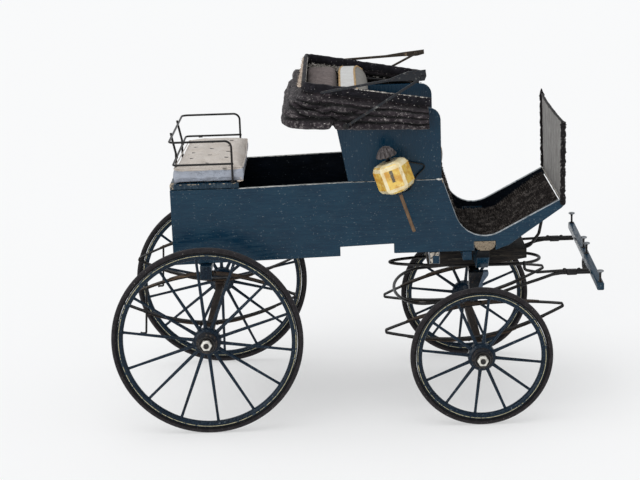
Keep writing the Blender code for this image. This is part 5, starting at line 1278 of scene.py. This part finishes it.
def make_front_bow():
    """The front bow in its leather band, with a frayed tan strip along its cross piece."""
    band = Piece("hood_bow_front_band")
    band.add(tube(spaced(bow_route((BOW_BACK, BOW_TOP, 0.2368), BOW_HALF, 0.003), 0.004), 0.001, 10),
        iron)
    front = 0.1668
    corners = [(front, -BOW_HALF, arm_height(front)), (BOW_BACK, -BOW_HALF, BOW_TOP),
        (BOW_BACK, BOW_HALF, BOW_TOP + 0.003), (front, BOW_HALF, arm_height(front) + 0.0008)]
    route = spaced(bent([at(*corner) for corner in corners], 0.006, 8), 0.0012)
    rng = Random(21)
    profile = [(0.0, 0.0017), (0.0011, 0.0012), (0.0016, 0.0002), (0.0016, -0.002), (0.0014, -0.0042),
        (0.0004, -0.0048), (-0.0008, -0.0044), (-0.0012, -0.002), (-0.0013, 0.0002), (-0.0009, 0.0012)]
    shape = sweep(profile, route, (0, 1, 0))
    ring = len(profile)
    shape.verts.ensure_lookup_table()
    for index, vert in enumerate(shape.verts):
        place = route[min(index // ring, len(route) - 1)]
        away = vert.co - place
        if away.z < -0.001 and abs(place.y) < 0.06:
            vert.co.z -= away.z * 0.55
        elif away.z < -0.001:
            vert.co.z -= 0.0007 * max(0.0, wander(place, 0.004, 3.0))
        bumps = 0.00045 * wander(vert.co, 0.003, 2.0) + 0.0003 * wander(vert.co, 0.0013, 9.0)
        vert.co += away.normalized() * bumps
    band.add(shape, hood_band)
    pivot_eyes(band, BOW_HALF)
    for side in SIDES.values():
        for number in range(120):
            ahead = 0.078 + 0.0885 * rng.random() ** 0.7
            edge = rng.choice((0.0014, 0.0014, -0.0046))
            spot = at(ahead, side * (BOW_HALF + rng.uniform(-0.0006, 0.0012)), arm_height(ahead) + edge)
            size = (rng.uniform(0.0003, 0.001), 0.00025, rng.uniform(0.00015, 0.00035))
            band.add(flake(spot, size, number), hood_fray if rng.random() < 0.55 else hood_band)
    back = [at(0.0733, -0.066, 0.2511) + Vector((0.0018, 0.1315, 0.003)) * step / 60
        for step in range(61)]
    sizes = [1 + 0.35 * rng.uniform(-1, 1) for _ in back]
    band.add(sweep(circle(0.0012, 8, 0.42), back, (1, 0, 0), sizes=sizes), frayed_tan)
    worn = [0.105 + 0.00105 * step for step in range(59)]
    edge = [at(ahead, -0.0669, arm_height(ahead) + 0.0044) for ahead in worn]
    sizes = [rng.uniform(0.25, 1.7) for _ in edge]
    band.add(sweep(circle(0.00034, 6), edge, (0, 1, 0), sizes=sizes), hood_fray)
    sizes = [1 + 0.35 * rng.uniform(-1, 1) for _ in back]
    inner = [at(0.0774, point.y * 0.985, point.z + 0.0006) for point in back]
    band.add(sweep(circle(0.0005, 6), inner, (1, 0, 0), sizes=sizes), hood_fray)
    threads = bmesh.new()
    for _ in range(420):
        share = rng.random()
        root = back[0].lerp(back[-1], share) + Vector((rng.uniform(-0.0014, 0.0012), 0.0, 0.0002))
        lean = Vector((rng.uniform(-1, 0.6), rng.uniform(-1, 1), rng.uniform(-0.1, 0.8))).normalized()
        tip = root + lean * rng.uniform(0.0006, 0.002)
        cone(root, tip, 0.00016, 0.00005, 3, threads)
    band.add(threads, frayed_tan, turn_out=False)
    dust = bmesh.new()
    for _ in range(380):
        root = at(rng.uniform(0.079, 0.106), 0.0635 + rng.gauss(0.0, 0.0012), 0.0)
        root.z = arm_height(root.x - REAR_AXLE) + rng.uniform(-0.003, 0.0006)
        lean = Vector((rng.uniform(-1, 1), rng.uniform(-1.0, 0.2), rng.uniform(-0.7, 0.7)))
        tip = root + lean.normalized() * 0.0018
        cone(root, tip, 0.00018, 0.00006, 3, dust)
    band.add(dust, hood_fray, turn_out=False)
    band.put("hood_front", "hood_cloth", ["hood_bow_front"], 60)


def cover_route():
    """The folded cover's run in plan, under the front bow: near side, round the back, far side."""
    points = [(0.165, -BOW_HALF), (0.075, -BOW_HALF), (0.075, BOW_HALF), (0.165, BOW_HALF)]
    return spaced(bent([Vector((x, y, 0.0)) for x, y in points], 0.0075, 12), COVER_STEP)


ROLLS = (
    # for each roll: where it ends down the height, how far it stands out, how deep its lower crease is
    (0.27, 0.0056, 0.0034), (0.48, 0.0088, 0.0054), (0.7, 0.0106, 0.0062), (1.0, 0.0109, 0.005))
GATHERS = (
    # ridges and creases of the bunched corner: points ahead and up, width, how far they push out
    (((0.095, 0.244), (0.0822, 0.2428), (0.0722, 0.2412), (0.0664, 0.239)), 0.0016, 0.0018),
    (((0.0679, 0.24), (0.0735, 0.2371), (0.0847, 0.235), (0.0948, 0.2378)), 0.0013, -0.0034),
    (((0.1089, 0.2345), (0.0911, 0.235), (0.08, 0.2338), (0.073, 0.2348)), 0.0014, 0.0016),
    (((0.0657, 0.2378), (0.0719, 0.2325), (0.0818, 0.23), (0.0967, 0.2285)), 0.0012, -0.0036),
    (((0.0613, 0.2345), (0.0661, 0.23), (0.0767, 0.2262), (0.0887, 0.224), (0.0945, 0.2262)),
     0.0022, 0.0016),
    (((0.09, 0.244), (0.0885, 0.24), (0.085, 0.237)), 0.001, -0.0016),
    (((0.118, 0.2335), (0.108, 0.2318), (0.1, 0.229), (0.096, 0.225)), 0.001, -0.0022))


def to_line(ahead, height, points):
    """How far a place in side view lies from a line of points."""
    spot = Vector((ahead, height))
    nearest = 1.0
    for first, last in zip(points, points[1:]):
        first, run = Vector(first), Vector(last) - Vector(first)
        share = max(0.0, min(1.0, (spot - first).dot(run) / run.length_squared))
        nearest = min(nearest, (spot - first - run * share).length)
    return nearest


def cover_section(place, ahead, back, near):
    """One cut through the folds, from under the band, out over each roll and in at each crease."""
    top = arm_height(max(ahead, BOW_BACK)) - 0.0026 + 0.0016 * back
    bottom = 0.22 - 0.022 * (ahead - 0.105) + 0.0008 * back
    bunch = near * max(0.0, min(1.0, (0.1 - ahead) / 0.012)) * (1 - back)
    if near:
        bottom += 0.0036 * math.exp(-((ahead - 0.0962) / 0.0017) ** 2) + 0.001 * bunch
    points = [(-0.0012, top + 0.0004), (0.0002, top + 0.001)]
    start = 0.0
    for number, (end, stand, depth) in enumerate(ROLLS):
        drift = 0.06 * wander((place * COVER_STEP, number * 0.013, 0.0), 0.014, 1.0 + number)
        end_here = min(1.0, end + drift) if number < len(ROLLS) - 1 else 1.0
        stand_here = stand + 0.0009 * wander((place * COVER_STEP, number * 0.02, 0.0), 0.01, 5.0)
        stand_here += back * (-0.0019 + 0.0023 * number)
        depth_here = depth * (1 - 0.62 * back * (number < 2)) + 0.0042 * back * (number == 3)
        depth_here *= 1 - 0.4 * bunch
        for step in range(12):
            within = (step + 0.5) / 12
            swell = 1 - abs(2 * within ** 0.78 - 1) ** 2.4
            out = stand_here - depth_here * (1 - swell)
            if number == 0:
                out *= max(0.05, min(1.0, (within - 0.14 * (1 - back)) / (0.3 + 0.5 * back)))
            height = start + (end_here - start) * within
            points.append((out, top + (bottom - top) * height - 0.001 * math.sin(math.pi * within)))
        start = end_here
        if number < len(ROLLS) - 1:
            points.append((stand_here - depth_here - 0.0014 * (1 - back),
                top + (bottom - top) * end_here))
    return points + [(0.003, bottom - 0.0002), (0.001, bottom + 0.0006)]


def make_cover():
    """The hood's cloth, folded down in rolls round the back of the seat."""
    route = cover_route()
    first = cover_section(0, 0.1, 0.0, 0.0)
    shape = sweep(first, route, (0, 0, 1), open_section=True)
    shape.verts.ensure_lookup_table()
    ring = len(first)
    for index in range(len(route)):
        along = heading(route, index)
        out = Vector((-along.y, along.x, 0.0))
        if out.dot(Vector((0.1, 0.0, 0.0)) - route[index]) > 0:
            out = -out
        near = 1.0 if route[index].y < -0.05 else 0.0
        section = cover_section(index, route[index].x, max(0.0, -out.x), near)
        for number, (outward, height) in enumerate(section):
            spot = route[index] + out * outward
            if spot.y > 0.0:
                far_lift = 0.003 - 0.024 * (spot.x - BOW_BACK)
                height += min(1.0, spot.y / BOW_HALF) * far_lift + 0.0014 * (number < 2)
            if spot.y < -0.06:
                for line, width, push in GATHERS:
                    far = to_line(spot.x, height, line) / width
                    if far < 3:
                        spot = spot + out * push * math.exp(-far * far)
            point = at(spot.x, spot.y, height)
            loose = 0.35 if outward < 0.001 else 1.0
            crumple = 0.0007 * wander(point, 0.006, 1.0) + 0.0005 * wander(point, 0.0026, 4.0)
            point += out * loose * (crumple + 0.00022 * wander(point, 0.0011, 6.0))
            point.z += 0.0006 * loose * wander(point, 0.008, 7.0)
            shape.verts[index * ring + number].co = point
    cloth = Piece("hood_cover_folds")
    cloth.add(shape, hood_cloth, turn_out=True)
    piece = cloth.put(None, "hood_cloth", ["hood_cover"], 60)
    thick = piece.modifiers.new("cloth thickness", "SOLIDIFY")
    thick.thickness = 0.0006
    thick.offset = 0.0
    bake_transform(piece)


def make_lining():
    """The lining that bulges inside the back of the folded hood."""
    shape = padded_block(at(0.0772, -0.061, 0.234), at(0.1002, 0.06, 0.2452), 24, 0.0026, 0.02, 0.003)
    for vert in shape.verts:
        vert.co.z += 0.001 * wander(vert.co, 0.012, 3.0) + 0.0004 * wander(vert.co, 0.004, 8.0)
        vert.co.z += 0.0016 * vert.co.y / 0.06
        vert.co.x += 0.001 * wander(vert.co, 0.012, 5.0) - 0.002 * max(0.0, vert.co.y / 0.06) ** 3
    relax(shape)
    lining = Piece("hood_lining_bulge")
    lining.add(shape, hood_lining)
    piece = lining.put("hood_front", "hood_cloth", crease=60)


def make_stays():
    """The jointed stays' links, a little bent, and their pins."""
    for side, finish in (("right", stay_iron), ("left", far_stay)):
        for part in ("lower_", "upper_"):
            node = "hood_stay_" + part + side
            shape = merged_copy(node)
            soften_edges(shape, 0.00032, 40, 2)
            for vert in shape.verts:
                vert.co.z += 0.00018 * wander(vert.co, 0.006, 2.0)
            Piece(node + "_link").add(shape, finish, turn_out=False).put("stay_" + part + side,
                "black_iron", [node], 40)
        for node in ("hood_pivot_" + side, "stay_pin_" + side):
            softened(node, "_pin", 0.0002, 2, iron, "carriage", "black_iron", 50)


# Under the body and the fore carriage


def make_cross_bars():
    """The cross bars under the body. The rear one has chipped ends and a steel strap near each."""
    for node in ("cross_bar_rear", "cross_bar_front"):
        rear = node == "cross_bar_rear"
        low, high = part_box(node)
        shape = bar(low, high, 0.0007, 3)
        bmesh.ops.subdivide_edges(shape, edges=shape.edges[:], cuts=3, use_grid_fill=True)

        def bar_face(face):
            spot = face.calc_center_median() - (low + high) / 2
            rim = max(-spot.x / (high.x - low.x), spot.z / (high.z - low.z)) > 0.27
            return white_end if rear and rim and abs(face.normal.y) > 0.35 else navy_cross
        piece = Piece(node + "_worn")
        piece.add(shape, bar_face)
        for across in SIDES.values() if rear else ():
            back, front, top, foot = low.x - 0.0002, high.x + 0.0002, high.z + 0.00005, low.z - 0.0002
            strap = [(back, across * 0.057, top), (back, across * 0.057, foot),
                (front, across * 0.057, foot), (front, across * 0.057, top)]
            piece.add(sweep(flat_section(0.0013, 0.0003), strap, (0, 1, 0)), dull_steel)
        piece.put("carriage", "navy_paint", [node], 40)


def make_transom():
    """The front transom, its ends bare above a line, and the black bed whose slanted cheeks are painted
    paler as painted light.
    """
    line = 0.1248
    shape = merged_copy("front_transom")
    low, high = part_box("front_transom")
    for vert in shape.verts:
        if abs(vert.co.y) > 0.056 and vert.co.z > line:
            vert.co.x += math.copysign(0.00024, vert.co.x - (low.x + high.x) / 2)
            vert.co.z += 0.00024 * (vert.co.z > high.z - 0.0005)
    soften_edges(shape, 0.0003, 40, 1)
    cut_across(shape, (0.0, 0.0, line), (0.0, 0.0, 1.0))

    def transom_face(face):
        spot = face.calc_center_median()
        if abs(spot.y) > 0.058 and spot.z > line:
            return tan_end
        return bed_black if abs(spot.y) > 0.056 and spot.z < line else navy_cross
    Piece("front_transom_worn").add(shape, transom_face, turn_out=False).put("carriage", "navy_paint",
        ["front_transom"], 30)
    shape = merged_copy("front_bed")
    soften_edges(shape, 0.0004, 40, 2)
    low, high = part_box("front_bed")
    middle = Vector(((low.x + high.x) / 2, 0.0, (low.z + high.z) / 2))
    slant = Vector((1.0, 0.0, -0.35))
    cut_across(shape, middle, slant)

    # The end faces past the slanted cut get the pale cheek colour, painted light.
    def bed_face(face):
        spot = face.calc_center_median()
        return lit_bed_cheek if abs(spot.y) > 0.053 and slant.dot(spot - middle) > 0 else bed_black
    Piece("front_bed_worn").add(shape, bed_face, turn_out=False).put("fore_carriage", "navy_paint",
        ["front_bed"], 30)


def make_irons():
    """The iron loop under the body, narrow in front and long behind, and the toe board's stay."""
    widest, half, back, curve, height = 0.2272, 0.018, 0.1362, 0.024, 0.1027
    route = []
    for steps, start, reach in ((24, 0.0, curve), (40, math.pi, widest - back)):
        for step in range(steps):
            angle = start + math.pi * step / steps
            route.append(at(widest + math.sin(angle) * reach, math.cos(angle) * half, height))
    Piece("upper_loop_rod").add(tube(route, 0.0012, 12, True), iron).put("carriage", "black_iron",
        ["upper_loop"], 60)
    stay = rod([(0.2494, 0.0, 0.1444), (0.2534, 0.0, 0.133), (0.251, 0.0, 0.1215), (0.244, 0.0, 0.1122),
        (0.2398, 0.0, 0.111)], 0.006, 7, 0.0012, 12)
    Piece("toe_stay_rod").add(stay, iron).put("carriage", "black_iron", ["toe_stay"], 60)
    make_turning_iron()


def make_turning_iron():
    """The long loop that turns with the fore carriage, its arms and the two scrolled stays on them."""
    iron_z, back_z, back, curve, half, level = 0.08608, 0.0818, 0.139, 0.024, 0.052, 0.1036
    slope = (iron_z - back_z) / (WHEELBASE - back)
    rise = level - iron_z
    ends = {side: 0.2835 + BAR_SKEW * across * half / BAR_LENGTH for side, across in SIDES.items()}
    arm = [(0.261, level)]
    for ahead, share in ((0.255, 0.95), (0.244, 0.74), (0.229, 0.48), (0.219, 0.28), (0.208, 0.05)):
        arm.append((ahead, iron_z + rise * share))
    route = [at(ends["right"], -half, level)] + [at(ahead, -half, height) for ahead, height in arm]
    for step in range(33):
        turn = math.pi * step / 32
        ahead = back + curve * (1 - math.sin(turn))
        route.append(at(ahead, -half * math.cos(turn), iron_z + slope * (ahead - WHEELBASE)))
    route += [at(ahead, half, height) for ahead, height in arm[::-1]] + [at(ends["left"], half, level)]
    turning = Piece("turntable_iron_rod")
    turning.add(tube(spaced(bent(route, 0.0016, 3), 0.003), 0.0012, 12), iron)
    for side, across in SIDES.items():
        stay_y = across * (half - 0.0004)
        top = level + 0.0017
        points = [at(*point) for point in ((ends[side] - 0.001, stay_y, top), (0.261, stay_y, top),
            (0.244, stay_y, top - 0.0006), (0.2345, stay_y - across * 0.002, top + 0.001),
            (0.235, stay_y - across * 0.006, top + 0.0064))]
        turning.add(tube(spaced(bent(points, 0.0026, 6), 0.003), 0.0011, 12), iron)
        for ahead in (0.264, 0.2745):
            turning.add(flake(at(ahead, stay_y, top + 0.001), (0.0015, 0.0012, 0.0009), ahead * 100),
                iron)
        turning.add(bar(at(0.2655, across * half - 0.0018, level - 0.0015),
            at(0.273, across * half + 0.0018, level + 0.0028), 0.0006), iron)
    turning.put("fore_carriage", "black_iron", ["turntable_iron"], 60)


def make_splinter_bar():
    """The splinter bar, a little askew, with four roller bolts."""
    middle = at(0.2864, 0.0, 0.1042)
    half = Vector((0.0025, 0.0915, 0.0028))
    swing = Matrix.Rotation(-math.atan(BAR_SKEW / BAR_LENGTH), 4, "Z")
    tip = Matrix.Rotation(math.atan(0.0022 / BAR_LENGTH), 4, "X")
    lay = Matrix.Translation(middle) @ (swing @ tip)
    bar_piece = Piece("splinter_bar_worn")
    shape = bar(-half, half, 0.0009, 3)
    bar_piece.add(shape, lambda face: worn_edge if abs(face.normal.y) > 0.3 else navy_cross, lay)
    for across in (-0.088, -0.009, 0.009, 0.088):
        place = lay @ Matrix.Translation((0.0, across, 0.0028))
        bar_piece.add(turned(mm((0, -1), (0.8, -1), (0.8, 5.6), (1, 6.8), (1.4, 7.4), (2, 7.7),
            (0, 7.7)), 18), iron, place)
        bar_piece.add(turned(mm((0, 7.4), (2.2, 7.4), (2.6, 7.8), (2.6, 8.3), (2.2, 8.6), (0, 8.6)), 22),
            dull_steel, place)
        bar_piece.add(turned(mm((0, 0), (1.9, 0), (1.7, 0.7), (0, 0.7)), 18), iron, place)
    bar_piece.put("fore_carriage", "navy_paint", ["splinter_bar"], 40)


# Stage, light and camera


def make_stage():
    """The white floor and the light."""
    shape = bmesh.new()
    bmesh.ops.create_grid(shape, x_segments=1, y_segments=1, size=12.0)
    mesh = bpy.data.meshes.new("floor")
    shape.to_mesh(mesh)
    shape.free()
    floor = bpy.data.objects.new("floor", mesh)
    bpy.context.scene.collection.objects.link(floor)
    white = bpy.data.materials.new("studio_floor")
    white.use_nodes = True
    shader = white.node_tree.nodes["Principled BSDF"]
    shader.inputs["Base Color"].default_value = (0.5, 0.5, 0.5, 1.0)
    shader.inputs["Emission Color"].default_value = (1.0, 1.0, 1.0, 1.0)
    shader.inputs["Emission Strength"].default_value = 0.45
    shader.inputs["Roughness"].default_value = 0.9
    shader.inputs["Specular IOR Level"].default_value = 0.0
    mesh.materials.append(white)
    world = bpy.data.worlds.new("studio")
    bpy.context.scene.world = world
    world.use_nodes = True
    sky = world.node_tree.nodes["Background"]
    sky.inputs["Color"].default_value = (0.96, 0.98, 1.0, 1.0)
    sky.inputs["Strength"].default_value = 0.62
    for name, direction, strength, spread in (
            ("overhead", (0.15, 0.1, -1.0), 1.15, 60.0),
            ("front", (0.55, 0.8, -0.16), 0.75, 30.0)):
        lamp = bpy.data.lights.new(name, "SUN")
        lamp.energy = strength
        lamp.angle = math.radians(spread)
        holder = bpy.data.objects.new(name, lamp)
        holder.rotation_euler = Vector(direction).to_track_quat("-Z", "Y").to_euler()
        bpy.context.scene.collection.objects.link(holder)


def make_camera():
    """The camera that was fitted to the photo."""
    focal_length, photo_width, sensor = 1735.3, 640, 36.0
    pitch, yaw, roll = math.radians(-13.77), math.radians(-0.88), math.radians(-2.04)
    forward = Vector((math.sin(yaw) * math.cos(pitch), math.cos(yaw) * math.cos(pitch), math.sin(pitch)))
    level = Vector((math.cos(yaw), -math.sin(yaw), 0.0))
    upright = level.cross(forward)
    right = level * math.cos(roll) + upright * math.sin(roll)
    up = upright * math.cos(roll) - level * math.sin(roll)
    data = bpy.data.cameras.new("camera")
    data.sensor_width = sensor
    data.lens = focal_length * sensor / photo_width
    data.clip_end = 60.0
    camera = bpy.data.objects.new("camera", data)
    turn = Matrix((right, up, -forward)).transposed().to_4x4()
    camera.matrix_world = Matrix.Translation((-0.00694, -1.29416, 0.43902)) @ turn
    bpy.context.scene.collection.objects.link(camera)
    bpy.context.scene.camera = camera
    bpy.context.scene.view_settings.view_transform = "Standard"


for make in (make_camera, make_stage, make_body, make_rear_cushion, make_seat_cushion, make_backrest,
        make_rail, make_carpet, make_dash):
    make()
for lamp_side in SIDES:
    make_lamp(lamp_side)
make_bow("hood_bow_rear", (0.0732, 0.2335, 0.2285), 0.0615, "hood_rear")
make_bow("hood_bow_middle", (0.0738, 0.2412, 0.2325), 0.0639, "hood_middle")
for make in (make_front_bow, make_cover, make_lining, make_stays):
    make()
make_axle("rear_axle", 0.0, REAR_RADIUS, "carriage", (0.062, 0.0751))
make_axle("front_axle", WHEELBASE, FRONT_RADIUS, "fore_carriage", None)
for make in (make_springs, make_cross_bars, make_transom, make_irons, make_splinter_bar, make_wheels):
    make()
